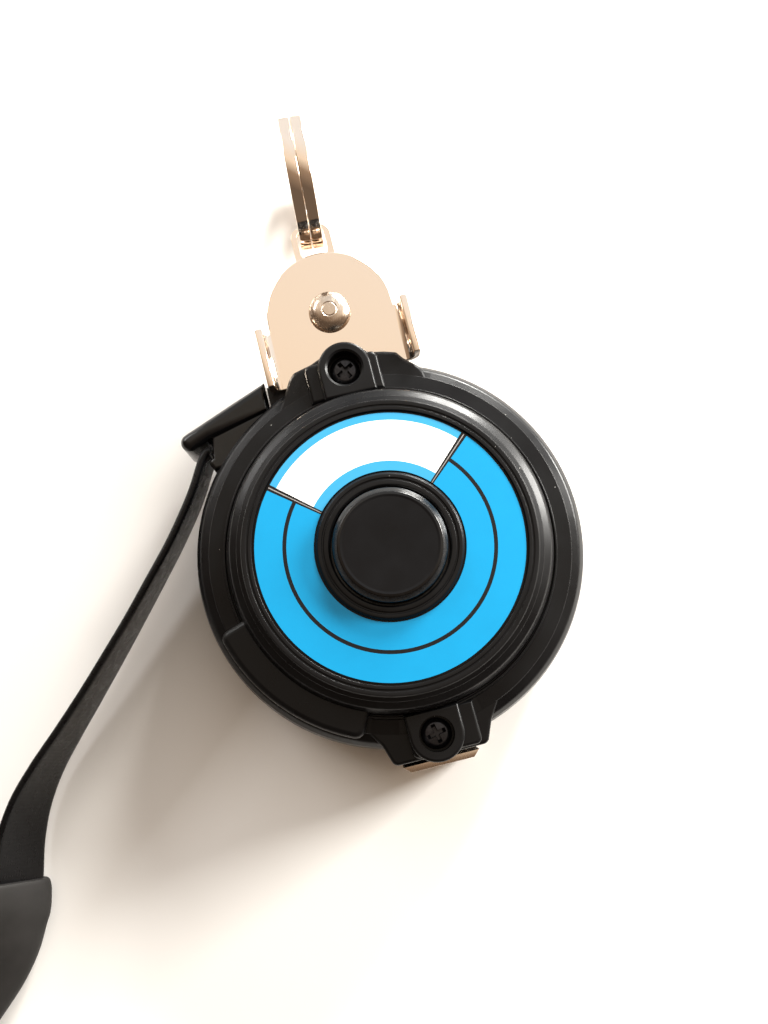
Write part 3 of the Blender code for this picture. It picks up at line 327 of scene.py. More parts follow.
# %% Thumb-worn ABS
button_abs, tree, shader = material_base("thumb_worn_abs", "#08080A", 0.36, Specular_IOR_Level=0.18)
place = add(tree, "ShaderNodeTexCoord").outputs["Object"]
grain = add(tree, "ShaderNodeTexNoise", {"Vector": place, "Scale": 1 / (0.22 * MM), "Detail": 2.0})
rub = add(tree, "ShaderNodeTexNoise", {"Vector": place, "Scale": 1 / (7 * MM), "Detail": 3.0})
gloss = add(tree, "ShaderNodeMapRange", {"Value": rub.outputs["Fac"], "From Min": 0.3,
                                         "From Max": 0.7, "To Min": 0.27, "To Max": 0.4})
tint = add(tree, "ShaderNodeMix", {0: rub.outputs["Fac"], 6: linear("#070709"),
                                   7: linear("#0D0D0F")}, data_type="RGBA")
tree.links.new(tint.outputs[2], shader.inputs["Base Color"])
tree.links.new(gloss.outputs["Result"], shader.inputs["Roughness"])
bump = add(tree, "ShaderNodeBump", {"Height": grain.outputs["Fac"], "Strength": 0.15,
                                    "Distance": 0.03 * MM})
tree.links.new(bump.outputs["Normal"], shader.inputs["Normal"])
print("polished and worn ABS")

# %% [markdown]
# ## Printed vinyl
# The label is a vinyl ring, printed in sky blue, white and near-black under a clear satin film.
# Each ink is a material of its own on its own faces, so their edges stay crisp from close by.

# %% Printed vinyl
def vinyl(name, colour, other):
    """One ink: two close tones in a fine mottle, under a satin film."""
    material, tree, shader = material_base(name, colour, 0.38, Coat_Weight=0.06,
                                           Coat_Roughness=0.18, Specular_IOR_Level=0.3)
    place = add(tree, "ShaderNodeTexCoord").outputs["Object"]
    mottle = add(tree, "ShaderNodeTexNoise", {"Vector": place, "Scale": 1 / (6 * MM),
                                              "Detail": 5.0, "Roughness": 0.6})
    tone = add(tree, "ShaderNodeMix", {0: mottle.outputs["Fac"], 6: linear(colour),
                                       7: linear(other)}, data_type="RGBA")
    tree.links.new(tone.outputs[2], shader.inputs["Base Color"])
    peel = add(tree, "ShaderNodeTexNoise", {"Vector": place, "Scale": 1 / (0.8 * MM)})
    bump = add(tree, "ShaderNodeBump", {"Height": peel.outputs["Fac"], "Strength": 0.1,
                                        "Distance": 0.02 * MM})
    tree.links.new(bump.outputs["Normal"], shader.inputs["Normal"])
    return material


blue_ink = vinyl("vinyl_sky_blue", "#0487B8", "#068FC2")
pale_ink = vinyl("vinyl_pale_blue", "#3092BE", "#3A98C4")
white_ink = vinyl("vinyl_white", "#F4F4F2", "#FBFBFA")
line_ink = vinyl("vinyl_near_black", "#08090B", "#0E0F12")
hairline_ink = vinyl("vinyl_hairline", "#8F8B88", "#9A9693")
print("five inks")

# %% [markdown]
# ## Nickel plate
# Bracket, link, rivet and ring are steel under bright nickel, which is a warm metal. The sheet
# was rolled and tumbled before plating, so it has faint streaks and small rub marks.

# %% Nickel plate
def nickel(name, colour, low, high, streak_mm):
    """Bright plating whose roughness follows long rolling streaks and small rub marks."""
    material, tree, shader = material_base(name, colour, (low + high) / 2, 1.0)
    place = add(tree, "ShaderNodeTexCoord").outputs["Object"]
    drawn = add(tree, "ShaderNodeMapping", {"Vector": place, "Scale": (1.0, 0.08, 1.0)})
    streaks = add(tree, "ShaderNodeTexNoise", {"Vector": drawn.outputs["Vector"],
                                               "Scale": 1 / (streak_mm * MM), "Detail": 4.0})
    rubs = add(tree, "ShaderNodeTexNoise", {"Vector": place, "Scale": 1 / (1.6 * MM),
                                            "Detail": 5.0, "Roughness": 0.7})
    both = add(tree, "ShaderNodeMath", {0: streaks.outputs["Fac"], 1: rubs.outputs["Fac"]},
               operation="MULTIPLY")
    gloss = add(tree, "ShaderNodeMapRange", {"Value": both.outputs[0], "From Min": 0.15,
                                             "From Max": 0.4, "To Min": low, "To Max": high})
    tree.links.new(gloss.outputs["Result"], shader.inputs["Roughness"])
    bump = add(tree, "ShaderNodeBump", {"Height": streaks.outputs["Fac"], "Strength": 0.12,
                                        "Distance": 0.02 * MM})
    tree.links.new(bump.outputs["Normal"], shader.inputs["Normal"])
    return material


bright_nickel = nickel("bright_nickel_plate", "#F4E4D4", 0.04, 0.11, 0.4)
satin_nickel = nickel("rubbed_nickel_plate", "#CDBCAB", 0.16, 0.34, 0.25)
print("nickel plate")

# %% [markdown]
# ## Screws and turned steel
# The case screws are black zinc, the rest is bright turned steel, where the tool leaves fine
# rings round the axis.

# %% Black zinc and turned steel
black_zinc, tree, shader = material_base("black_zinc_plate", "#2B2B2E", 0.34, 0.85)
place = add(tree, "ShaderNodeTexCoord").outputs["Object"]
wear = add(tree, "ShaderNodeTexNoise", {"Vector": place, "Scale": 1 / (0.6 * MM), "Detail": 4.0})
tint = add(tree, "ShaderNodeMix", {0: wear.outputs["Fac"], 6: linear("#1C1C1F"),
                                   7: linear("#4A4A4E")}, data_type="RGBA")
tree.links.new(tint.outputs[2], shader.inputs["Base Color"])


def lathed(name, colour, roughness):
    """Metal with turning marks 0.15 mm apart round the Z axis."""
    material, tree, shader = material_base(name, colour, roughness, 1.0)
    place = add(tree, "ShaderNodeTexCoord").outputs["Object"]
    marks = add(tree, "ShaderNodeTexWave", {"Vector": place, "Scale": 0.314 / (0.15 * MM),
                                            "Distortion": 0.4}, wave_type="RINGS",
                rings_direction="Z")
    mottle = add(tree, "ShaderNodeTexNoise", {"Vector": place, "Scale": 1 / (2 * MM)})
    gloss = add(tree, "ShaderNodeMapRange", {"Value": mottle.outputs["Fac"],
                                             "To Min": roughness - 0.08,
                                             "To Max": roughness + 0.1})
    tree.links.new(gloss.outputs["Result"], shader.inputs["Roughness"])
    bump = add(tree, "ShaderNodeBump", {"Height": marks.outputs["Fac"], "Strength": 0.2,
                                        "Distance": 0.01 * MM})
    tree.links.new(bump.outputs["Normal"], shader.inputs["Normal"])
    return material


turned_steel = lathed("turned_steel", "#C2C2C4", 0.28)
blued_steel = lathed("blued_spring_steel", "#6D7280", 0.3)
print("screws and turned steel")

# %% [markdown]
# ## Forged alloy
# The hook is a die-forged aluminium alloy, tumbled and clear anodised: a pale satin metal with
# a very fine pitted skin.

# %% Forged alloy
forged_alloy, tree, shader = material_base("tumbled_anodised_alloy", "#B9BABD", 0.34, 1.0)
place = add(tree, "ShaderNodeTexCoord").outputs["Object"]
pits = add(tree, "ShaderNodeTexNoise", {"Vector": place, "Scale": 1 / (0.3 * MM), "Detail": 5.0})
cloud = add(tree, "ShaderNodeTexNoise", {"Vector": place, "Scale": 1 / (8 * MM), "Detail": 3.0})
gloss = add(tree, "ShaderNodeMapRange", {"Value": cloud.outputs["Fac"], "To Min": 0.26,
                                         "To Max": 0.46})
tree.links.new(gloss.outputs["Result"], shader.inputs["Roughness"])
bump = add(tree, "ShaderNodeBump", {"Height": pits.outputs["Fac"], "Strength": 0.2,
                                    "Distance": 0.03 * MM})
tree.links.new(bump.outputs["Normal"], shader.inputs["Normal"])
print("forged alloy")

# %% [markdown]
# ## Plastics and rubber inside
# Drum, bushes and brake pad only show when the case is open, but each still gets its own
# finish: glass-filled nylon with short pale fibres, white nylon, and ground rubber.

# %% Inner plastics
def mottled(name, colour, other, roughness, spot_mm):
    """A plastic or rubber of two tones, with a bump of the same grain."""
    material, tree, shader = material_base(name, colour, roughness)
    place = add(tree, "ShaderNodeTexCoord").outputs["Object"]
    spots = add(tree, "ShaderNodeTexNoise", {"Vector": place, "Scale": 1 / (spot_mm * MM),
                                             "Detail": 4.0})
    tone = add(tree, "ShaderNodeMix", {0: spots.outputs["Fac"], 6: linear(colour),
                                       7: linear(other)}, data_type="RGBA")
    tree.links.new(tone.outputs[2], shader.inputs["Base Color"])
    bump = add(tree, "ShaderNodeBump", {"Height": spots.outputs["Fac"], "Strength": 0.25,
                                        "Distance": 0.03 * MM})
    tree.links.new(bump.outputs["Normal"], shader.inputs["Normal"])
    return material


drum_nylon = mottled("glass_filled_nylon", "#3A3B3D", "#505154", 0.5, 0.5)
white_nylon = mottled("white_nylon", "#D9D6CD", "#E6E4DC", 0.45, 0.8)
brake_rubber = mottled("ground_rubber", "#262423", "#35322F", 0.85, 0.4)
print("inner plastics")

# %% [markdown]
# ## Webbing
# The lanyard is 15 mm polyester webbing in black, plain-woven and heat-set until it is nearly
# smooth. A pattern that follows a bending strap needs coordinates that bend with it, so the
# strap carries a UV map in metres: across the strap and along it. The real threads are about
# 0.4 mm apart, and they are drawn at 0.7 mm so that they show.

# %% Webbing finishes
def woven(name, coordinates, dark, light, roughness):
    """Plain weave: ribs across and threads along, from a UV map or from Object coordinates."""
    material, tree, shader = material_base(name, dark, roughness, Specular_IOR_Level=0.22,
                                           Sheen_Weight=0.02, Sheen_Roughness=0.4)
    place = add(tree, "ShaderNodeTexCoord").outputs[coordinates]
    axes = ("X", "Y") if coordinates == "UV" else ("Z", "Y")
    threads = add(tree, "ShaderNodeTexWave", {"Vector": place, "Scale": 0.314 / (0.7 * MM)},
                  wave_type="BANDS", bands_direction=axes[0])
    ribs = add(tree, "ShaderNodeTexWave", {"Vector": place, "Scale": 0.314 / (0.9 * MM),
                                           "Distortion": 0.3}, wave_type="BANDS",
               bands_direction=axes[1])
    weave = add(tree, "ShaderNodeMath", {0: threads.outputs["Fac"], 1: ribs.outputs["Fac"]},
                operation="MULTIPLY")
    fuzz = add(tree, "ShaderNodeTexNoise", {"Vector": place, "Scale": 1 / (2.5 * MM),
                                            "Detail": 4.0})
    mixed = add(tree, "ShaderNodeMath", {0: weave.outputs[0], 1: fuzz.outputs["Fac"]},
                operation="MULTIPLY")
    tone = add(tree, "ShaderNodeMix", {0: mixed.outputs[0], 6: linear(dark), 7: linear(light)},
               data_type="RGBA")
    tree.links.new(tone.outputs[2], shader.inputs["Base Color"])
    gloss = add(tree, "ShaderNodeMapRange", {"Value": fuzz.outputs["Fac"], "From Min": 0.3,
                                             "From Max": 0.7, "To Min": roughness - 0.06,
                                             "To Max": roughness + 0.1})
    tree.links.new(gloss.outputs["Result"], shader.inputs["Roughness"])
    bump = add(tree, "ShaderNodeBump", {"Height": weave.outputs[0], "Strength": 0.3,
                                        "Distance": 0.05 * MM})
    tree.links.new(bump.outputs["Normal"], shader.inputs["Normal"])
    return material


strap_webbing = woven("polyester_webbing", "UV", "#050506", "#101012", 0.28)
coil_webbing = woven("wound_webbing", "Object", "#0B0B0C", "#1B1B1E", 0.45)

# %% Sewn sleeve
sleeve_rubber, tree, shader = material_base("heat_shrunk_sleeve", "#1E1D1C", 0.6,
                                            Specular_IOR_Level=0.3)
place = add(tree, "ShaderNodeTexCoord").outputs["UV"]
pores = add(tree, "ShaderNodeTexNoise", {"Vector": place, "Scale": 1 / (0.35 * MM), "Detail": 3.0})
folds = add(tree, "ShaderNodeTexNoise", {"Vector": place, "Scale": 1 / (5 * MM), "Detail": 2.0})
tone = add(tree, "ShaderNodeMix", {0: folds.outputs["Fac"], 6: linear("#191817"),
                                   7: linear("#262423")}, data_type="RGBA")
tree.links.new(tone.outputs[2], shader.inputs["Base Color"])
bump = add(tree, "ShaderNodeBump", {"Height": pores.outputs["Fac"], "Strength": 0.3,
                                    "Distance": 0.04 * MM})
tree.links.new(bump.outputs["Normal"], shader.inputs["Normal"])
print("webbing and sleeve")

# %% Sweep along a route
def smooth_route(points, per_span):
    """Catmull-Rom points through the route; the lean is carried along with the place."""
    padded = [points[0], *points, points[-1]]
    result = []
    for p0, p1, p2, p3 in zip(padded, padded[1:], padded[2:], padded[3:]):
        for step in range(per_span):
            t = step / per_span
            result.append(tuple(
                0.5 * (2 * b + (c - a) * t + (2 * a - 5 * b + 4 * c - d) * t * t
                       + (3 * b - a - 3 * c + d) * t ** 3)
                for a, b, c, d in zip(p0, p1, p2, p3)))
    result.append(tuple(points[-1]))
    return result


def strap_frames(route):
    """A matrix for each route point: X is the thickness, Y the width, Z the way along."""
    spots = [Vector(point[:3]) for point in route]
    frames = []
    for index, spot in enumerate(spots):
        ahead = (spots[min(index + 1, len(spots) - 1)] - spots[max(index - 1, 0)]).normalized()
        outward = ahead.cross(Vector((0, 0, 1))).normalized()
        upright = outward.cross(ahead)
        lean = math.radians(route[index][3])
        wide = upright * math.cos(lean) + outward * math.sin(lean)
        thick = ahead.cross(wide)
        frames.append(Matrix.Translation(spot)
                      @ Matrix((thick, wide, ahead)).transposed().to_4x4())
    return frames


def swept(frames, section, swell=None):
    """Extrude a closed section from frame to frame, and map it in metres."""
    bm = bmesh.new()
    around = bm.verts.layers.float.new("around")
    along = bm.verts.layers.float.new("along")
    verts = [bm.verts.new((x, y, 0)) for x, y in section]
    total = 0.0
    for vert, after in zip(verts, verts[1:] + verts[:1]):
        vert[around] = total
        total += (after.co - vert.co).length
    start_face = bm.faces.new(verts)
    bmesh.ops.transform(bm, matrix=frames[0], verts=verts)
    edges = list(start_face.edges)
    distance = 0.0
    for index in range(1, len(frames)):
        grown = bmesh.ops.extrude_edge_only(bm, edges=edges)["geom"]
        verts = [item for item in grown if isinstance(item, bmesh.types.BMVert)]
        fresh = set(verts)
        edges = [item for item in grown if isinstance(item, bmesh.types.BMEdge)
                 and all(v in fresh for v in item.verts)]
        step = frames[index]
        if swell:
            width = swell(index / (len(frames) - 1)) / swell((index - 1) / (len(frames) - 1))
            step = step @ Matrix.Diagonal((width, width, 1, 1))
        bmesh.ops.transform(bm, matrix=step @ frames[index - 1].inverted(), verts=verts)
        distance += (frames[index].translation - frames[index - 1].translation).length
        for vert in verts:
            vert[along] = distance
    bmesh.ops.edgeloop_fill(bm, edges=edges)
    bmesh.ops.recalc_face_normals(bm, faces=bm.faces)
    uv = bm.loops.layers.uv.new("along_strap")
    for face in bm.faces:
        values = [loop.vert[around] for loop in face.loops]
        wraps = max(values) - min(values) > total / 2
        for loop, value in zip(face.loops, values):
            turn = total if wraps and value < total / 2 else 0.0
            loop[uv].uv = (value + turn, loop.vert[along])
    return bm, distance


def strap_section(wide, thick, edge_steps=6, face_steps=14, hump=0.0):
    """A flat section with round edges; a hump thickens it a little towards its middle."""
    r = thick / 2
    half = wide / 2 - r
    side = [Vector((r + hump * math.cos(math.pi * (i / face_steps - 0.5)),
                    -half + 2 * half * i / face_steps)) for i in range(face_steps)]
    top = arc((0, half), r, 0, 180, edge_steps)[:-1]
    other = [Vector((-p.x, -p.y)) for p in side]
    bottom = [Vector((-p.x, -p.y)) for p in top]
    return side + top + other + bottom


print("sweep ready")

# %% [markdown]
# ## The free webbing
# The strap leaves the horn on edge, curls round its lip, runs down beside the case to the
# table, and there begins to turn over towards its sewn end. It runs on inside the sleeve as far
# as the hook's eye. The length that the drum holds is in the CAD's coil, and only this end is out.

# %% The strap
WEB_WIDE, WEB_THICK = 15 * MM, 1.9 * MM
WEBBING_ROUTE = [
    (-0.0353, 0.0337, 0.01285, 0), (-0.0361, 0.03366, 0.01285, 0), (-0.0375, 0.0323, 0.01285, 0),
    (-0.0390, 0.0298, 0.01280, 0), (-0.0409, 0.0265, 0.01270, 0), (-0.0437, 0.0224, 0.01250, 0),
    (-0.0492, 0.0153, 0.0121, 0), (-0.0556, 0.0080, 0.0116, 1), (-0.0624, 0.0004, 0.0110, 2),
    (-0.0696, -0.0073, 0.0104, 4), (-0.0768, -0.0148, 0.0098, 6), (-0.0838, -0.0218, 0.0092, 9),
    (-0.0905, -0.0286, 0.0087, 14), (-0.0960, -0.0356, 0.0083, 22), (-0.1001, -0.0434, 0.0079, 30),
    (-0.1029, -0.0515, 0.0075, 37),
]
SLEEVE_ROUTE = [
    (-0.1031, -0.0522, 0.0075, 38), (-0.1048, -0.0580, 0.0073, 44), (-0.1078, -0.0640, 0.0070, 52),
    (-0.1120, -0.0692, 0.0067, 60), (-0.1168, -0.0735, 0.0064, 70), (-0.1212, -0.0773, 0.0061, 80),
    (-0.1238, -0.0809, 0.0060, 88), (-0.1243, -0.0840, 0.0060, 90), (-0.1243, -0.0865, 0.0060, 90),
]
free_route = smooth_route(WEBBING_ROUTE, 12)
route = free_route + smooth_route(SLEEVE_ROUTE, 10)
bm, strap_length = swept(strap_frames(route), strap_section(WEB_WIDE, WEB_THICK - 0.1 * MM,
                                                            hump=0.05 * MM))
strap = piece_from(bm, "free_webbing", [strap_webbing], sharp=60)
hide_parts("webbing_tail")
print("free webbing", round(strap_length * 1000, 1), "mm long, sleeve included")

# %% [markdown]
# ## The sewn end
# The webbing is folded back on itself through the hook's eye and sewn, and a sleeve of
# heat-shrink covers the stitches. The sleeve swells over the fold and pinches at both mouths.

# %% Sleeve and eye
def sleeve_swell(part):
    """Scale of the sleeve's section along its length: pinched mouths and a wider band first."""
    mouth = min(part, 1 - part) / 0.06
    band = 1 / (1 + math.exp((part - 0.17) / 0.012))
    return (0.9 + 0.1 * min(mouth, 1.0) ** 0.5) * (0.93 + 0.07 * band)


frames = strap_frames(smooth_route(SLEEVE_ROUTE, 10))
bm, _ = swept(frames, strap_section(16.8 * MM, 5.0 * MM, 8, 12, 0.1 * MM),
                          sleeve_swell)
sleeve = settle(piece_from(bm, "sewn_end_sleeve", [sleeve_rubber], 60), "lanyard_end",
                "black_webbing", "end_sleeve")
eye_loop = settle(softened("webbing_eye", "webbing_eye_loop", 0.4 * MM, [coil_webbing]),
                  "lanyard_end", "black_webbing", "webbing_eye")

# %% [markdown]
# ## The hook
# A double-action hook: an eye that the webbing loops through, a body that swivels in it, a
# gate, and a lever on its back. Forgings have no sharp edge anywhere, so each copy of a CAD
# node gets its edges rounded by most of a millimetre.

# %% Hook
for node, body, soft in (("hook_eye", "lanyard_end", 0.9), ("hook_body", "hook", 0.5),
                         ("hook_gate", "gate", 0.4), ("hook_lock", "lock", 0.3)):
    part = softened(node, node + "_forging", soft * MM, [forged_alloy], 3)
    settle(part, body, "forged_alloy", node)
for node in ("gate_pin", "lock_pin"):
    nodes[node].data.materials.clear()
    nodes[node].data.materials.append(turned_steel)

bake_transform(strap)

# %% [markdown]
# ## Front cover
# The cover steps down from the rim round the label to a round shoulder, a groove at its foot,
# a flat ledge and the outer wall. Turning its section gives all of that at once. The lugs,
# screw towers and the swelling at the lower left are joined on, then the holes are cut.

# %% Front cover's turned shell
FRONT_SECTION = [
    (0.0149, 0.0326, 0), (0.0306, 0.0326, 0), (0.0307, 0.0335, 0.00012),
    (0.03145, 0.0335, 0.00008), (0.0316, 0.0333, 0.00006), (0.0319, 0.0333, 0.00006),
    (0.0320, 0.0335, 0.00008), (0.0329, 0.0335, 0.0002), (0.0332, 0.0330, 0.0001),
    (0.0341, 0.0327, 0.0001), (0.0342, 0.0325, 0.0001), (0.0358, 0.0317, 0.0009),
    (0.0367, 0.0288, 0.0008), (0.0371, 0.0246, 0.0002), (0.0375, 0.0246, 0.0001),
    (0.03755, 0.0254, 0.00012), (0.0380, 0.0254, 0.00015), (0.0382, 0.0241, 0.0001),
    (0.0414, 0.0240, 0.00012), (0.0416, 0.0237, 0.0001), (0.0434, 0.0231, 0.0015),
    (0.0445, 0.0213, 0.0015), (0.0450, 0.0188, 0.0015), (0.0450, 0.01615, 0.0003),
    (0.0429, 0.01615, 0), (0.0429, 0.0210, 0), (0.0419, 0.0220, 0), (0.0354, 0.0220, 0),
    (0.0348, 0.0226, 0), (0.0348, 0.0294, 0), (0.0338, 0.0304, 0), (0.0149, 0.0304, 0),
]
front_cover = piece_from(turned(rounded(FRONT_SECTION, 4), 160), "front_shell", [case_abs])
print("front shell", len(front_cover.data.polygons), "faces")

# %% Lugs, towers and swelling
TOP_SCREW, BOTTOM_SCREW = 0.0434, -0.0424
NECK_TOP, EAR_TOP = 0.02395, 0.02395
NECK = [(0.0185, 0.0360, 0), (0.0176, 0.0402, 0.0030), (0.0141, 0.0434, 0.0014),
        (0.0128, 0.0452, 0.0012), (0.0100, 0.0461, 0.0014), (0.0066, 0.0468, 0.0012),
        (0.0045, 0.0484, 0.0014), (0, 0.0490, 0), (-0.0050, 0.0481, 0.0014),
        (-0.0074, 0.0471, 0.0012), (-0.0118, 0.0461, 0.0014), (-0.0132, 0.0447, 0.0012),
        (-0.0148, 0.0419, 0.0020), (-0.0185, 0.0360, 0)]
NECK_BLOCK = [(0.0082, 0.0370, 0), (0.0082, 0.0463, 0.0016), (-0.0094, 0.0463, 0.0016),
              (-0.0094, 0.0370, 0)]
EAR = [(-0.0160, -0.0370, 0), (-0.0124, -0.0424, 0.0030), (-0.0108, -0.0473, 0.0016),
       (0.0108, -0.0473, 0.0016), (0.0128, -0.0424, 0.0030), (0.0165, -0.0370, 0)]
EAR_BLOCK = [(0.0096, -0.0370, 0), (0.0096, -0.0468, 0.0014), (-0.0062, -0.0468, 0.0014),
             (-0.0062, -0.0370, 0)]
TOWER_R = 0.00625


def tower(y, foot, high):
    """A screw tower: round on its outer side, running straight in to the cap's foot."""
    side = 1 if y > 0 else -1
    outline = arc((0, y), TOWER_R, 0, 180 * side, 28)
    outline += [Vector((-TOWER_R, 0.0368 * side)), Vector((TOWER_R, 0.0368 * side))]
    return plate(outline, foot, high, 0.0007, 4)


def swollen():
    """The swelling's outline: two arcs, closed with rounded outer corners."""
    inner = [(p.x, p.y, 0) for p in arc((0, 0), 0.0355, 192, 249, 22)]
    outer = [(p.x, p.y, 0.0022 if i in (0, 18) else 0)
             for i, p in enumerate(arc((0, 0), 0.0429, 248, 193, 18))]
    return rounded(inner + outer)


swelling = plate(swollen(), 0.0230, 0.0286, 0.0014, 5)
ROOT_WEB = [(-0.0189, 0.0400), (-0.0189, 0.0452), (-0.0130, 0.0452), (-0.0130, 0.0400)]
LUG_FOOT = 0.01635
joined = [("UNION", solid) for solid in (
    swelling,
    plate([Vector(p) for p in ROOT_WEB], LUG_FOOT, 0.0196),
    plate(rounded(NECK), LUG_FOOT, NECK_TOP, 0.0009, 4),
    plate(rounded(EAR), LUG_FOOT, EAR_TOP, 0.0007),
    plate(rounded(NECK_BLOCK), 0.0223, 0.0260, 0.0008, 4),
    plate(rounded(EAR_BLOCK), 0.0222, 0.0256, 0.0007, 4),
    tower(TOP_SCREW, 0.0224, 0.0276),
    tower(BOTTOM_SCREW, 0.0221, 0.0272))]
carve(front_cover, joined)
print("joined", len(front_cover.data.polygons), "faces")

# %% Screw bores, bracket pocket and outlet
def block(low, high):
    """A plain box between two corners, for cutting."""
    bm = bmesh.new()
    size = Vector(high) - Vector(low)
    bmesh.ops.create_cube(bm, size=1.0)
    bmesh.ops.scale(bm, vec=size, verts=bm.verts)
    bmesh.ops.translate(bm, vec=Vector(low) + size / 2, verts=bm.verts)
    return bm


def bore(y):
    """A counterbore with a chamfered mouth, and the screw's hole under it."""
    return turned([(0, 0.0290), (0.0046, 0.0290), (0.0046, 0.0277), (0.0040, 0.0272),
                   (0.0040, 0.0229), (0.0020, 0.0229), (0.0020, 0.0150), (0, 0.0150)],
                  56, (0, y), closed=False)


carve(front_cover, [("DIFFERENCE", block((-0.0135, 0.0397, 0.0150), (0.0135, 0.0510, 0.0219))),
                    ("DIFFERENCE", block((-0.0500, 0.0283, 0.0150), (-0.0189, 0.0500, 0.0220))),
                    ("DIFFERENCE", bore(TOP_SCREW)), ("DIFFERENCE", bore(BOTTOM_SCREW))])
settle(front_cover, "reel", "moulded_black", "front_cover")

# %% [markdown]
# ## Rear cover
# A shallow bowl with a broad round edge, two lugs for the screws and the other half of the
# outlet's opening.

# %% Rear cover
REAR_SECTION = [
    (0.0450, 0.01585, 0.0003), (0.0450, 0.0065, 0.0020), (0.0443, 0.0043, 0.0015),
    (0.0429, 0.0028, 0.0015), (0.0405, 0.0019, 0.0010), (0.0073, 0.0019, 0.0002),
    (0.0073, 0.0037, 0), (0.0403, 0.0037, 0), (0.0422, 0.0044, 0), (0.0429, 0.0063, 0),
    (0.0429, 0.01585, 0),
]
REAR_NECK = [(0.0190, 0.0375, 0), (0.0146, 0.0412, 0.0040), (0.0130, 0.0440, 0.0012),
             (0.0112, 0.0459, 0.0014), (-0.0112, 0.0459, 0.0014), (-0.0130, 0.0440, 0.0012),
             (-0.0146, 0.0412, 0.0040), (-0.0190, 0.0375, 0)]
rear_cover = piece_from(turned(rounded(REAR_SECTION, 5), 160), "rear_shell", [case_abs])


def screw_hole(y):
    return turned([(0, 0.0260), (0.0020, 0.0260), (0.0020, -0.0020), (0, -0.0020)], 40, (0, y),
                  closed=False)


carve(rear_cover, [("UNION", plate(rounded(REAR_NECK), 0.0021, 0.0197)),
                   ("UNION", plate(rounded(EAR), 0.0021, 0.01565)),
                   ("DIFFERENCE", block((-0.0500, 0.0283, 0.0037), (-0.0189, 0.0500, 0.0170))),
                   ("DIFFERENCE", screw_hole(TOP_SCREW)),
                   ("DIFFERENCE", screw_hole(BOTTOM_SCREW))])
settle(rear_cover, "reel", "moulded_black", "rear_cover")

# %% [markdown]
# ## Label
# The label is a flat vinyl ring in a sunk seat. One window at the top is white between two
# pale blue strips, two double lines close it at its ends, and a dark line follows the rest of
# the ring. Real labels carry words, and this one is left plain. Spinning one row of edges, span
# by span, gives a face for every printed field.

# %% Label
LABEL_LOW, LABEL_HIGH = 0.0329, 0.0332
BANDS = [0.0169, 0.0191, 0.02295, 0.02383, 0.0284, 0.03005]
WINDOW_START, WINDOW_END = 42.6, 140.4          # the white window, in degrees
LINE, HAIR = 2.70, 0.45                         # widths of the closing lines, in degrees
half_gap = (LINE - HAIR) / 2
spans = []
for middle in (WINDOW_START, WINDOW_END):
    edge = middle - LINE / 2
    spans += [(edge, half_gap, "line"), (edge + half_gap, HAIR, "hair"),
              (edge + half_gap + HAIR, half_gap, "line")]
spans += [(WINDOW_START + LINE / 2, WINDOW_END - WINDOW_START - LINE, "window"),
          (WINDOW_END + LINE / 2, 360 - (WINDOW_END - WINDOW_START) - LINE, "field")]
INKS = {"blue": 0, "pale": 1, "white": 2, "line": 3, "hair": 4}
PRINT = {"window": ("pale", "white", "white", "white", "pale"),
         "field": ("blue", "blue", "line", "blue", "blue"),
         "line": ("line",) * 5, "hair": ("hair",) * 5}
bm = bmesh.new()
for start, width, field in spans:
    turn = Matrix.Rotation(math.radians(start), 3, "Z")
    row = [bm.verts.new(turn @ Vector((radius, 0, LABEL_HIGH))) for radius in BANDS]
    edges = [bm.edges.new(pair) for pair in zip(row, row[1:])]
    known = set(bm.faces)
    bmesh.ops.spin(bm, geom=row + edges, cent=(0, 0, 0), axis=(0, 0, 1),
                   angle=math.radians(width), steps=max(1, round(width / 1.5)))
    for face in set(bm.faces) - known:
        radius = face.calc_center_median().xy.length
        band = sum(radius > inner for inner in BANDS[1:-1])
        face.material_index = INKS[PRINT[field][band]]
bmesh.ops.remove_doubles(bm, verts=bm.verts, dist=2e-6)
bm.normal_update()
for face in bm.faces:
    if face.normal.z < 0:
        face.normal_flip()
bmesh.ops.solidify(bm, geom=bm.faces[:], thickness=LABEL_HIGH - LABEL_LOW)
label = piece_from(bm, "label_print", [blue_ink, pale_ink, white_ink, line_ink, hairline_ink])
settle(label, "reel", "label_blue", "label_ring")
print("label from", round(min(v.co.z for v in label.data.vertices), 5), "to",
      round(max(v.co.z for v in label.data.vertices), 5))

# %% [markdown]
# ## Collar and stop button
# A collar lines the button's hole and hides its edge. The button has a matt top for the thumb,
# with a narrow polished slope round it.

# %% Collar
COLLAR = [(0.0133, 0.0335, 0.0001), (0.0137, 0.0339, 0.0002), (0.01465, 0.0339, 0.0001),
          (0.0148, 0.03365, 0.00008), (0.0151, 0.03365, 0.00008), (0.01525, 0.0339, 0.0001),
          (0.0160, 0.0339, 0.0002), (0.0165, 0.0333, 0.0002), (0.0165, 0.0329, 0),
          (0.0146, 0.0329, 0), (0.0146, 0.0304, 0), (0.0133, 0.0304, 0)]
collar = piece_from(turned(rounded(COLLAR, 3), 128), "button_collar", [case_abs])
settle(collar, "reel", "moulded_black", "bezel_ring")

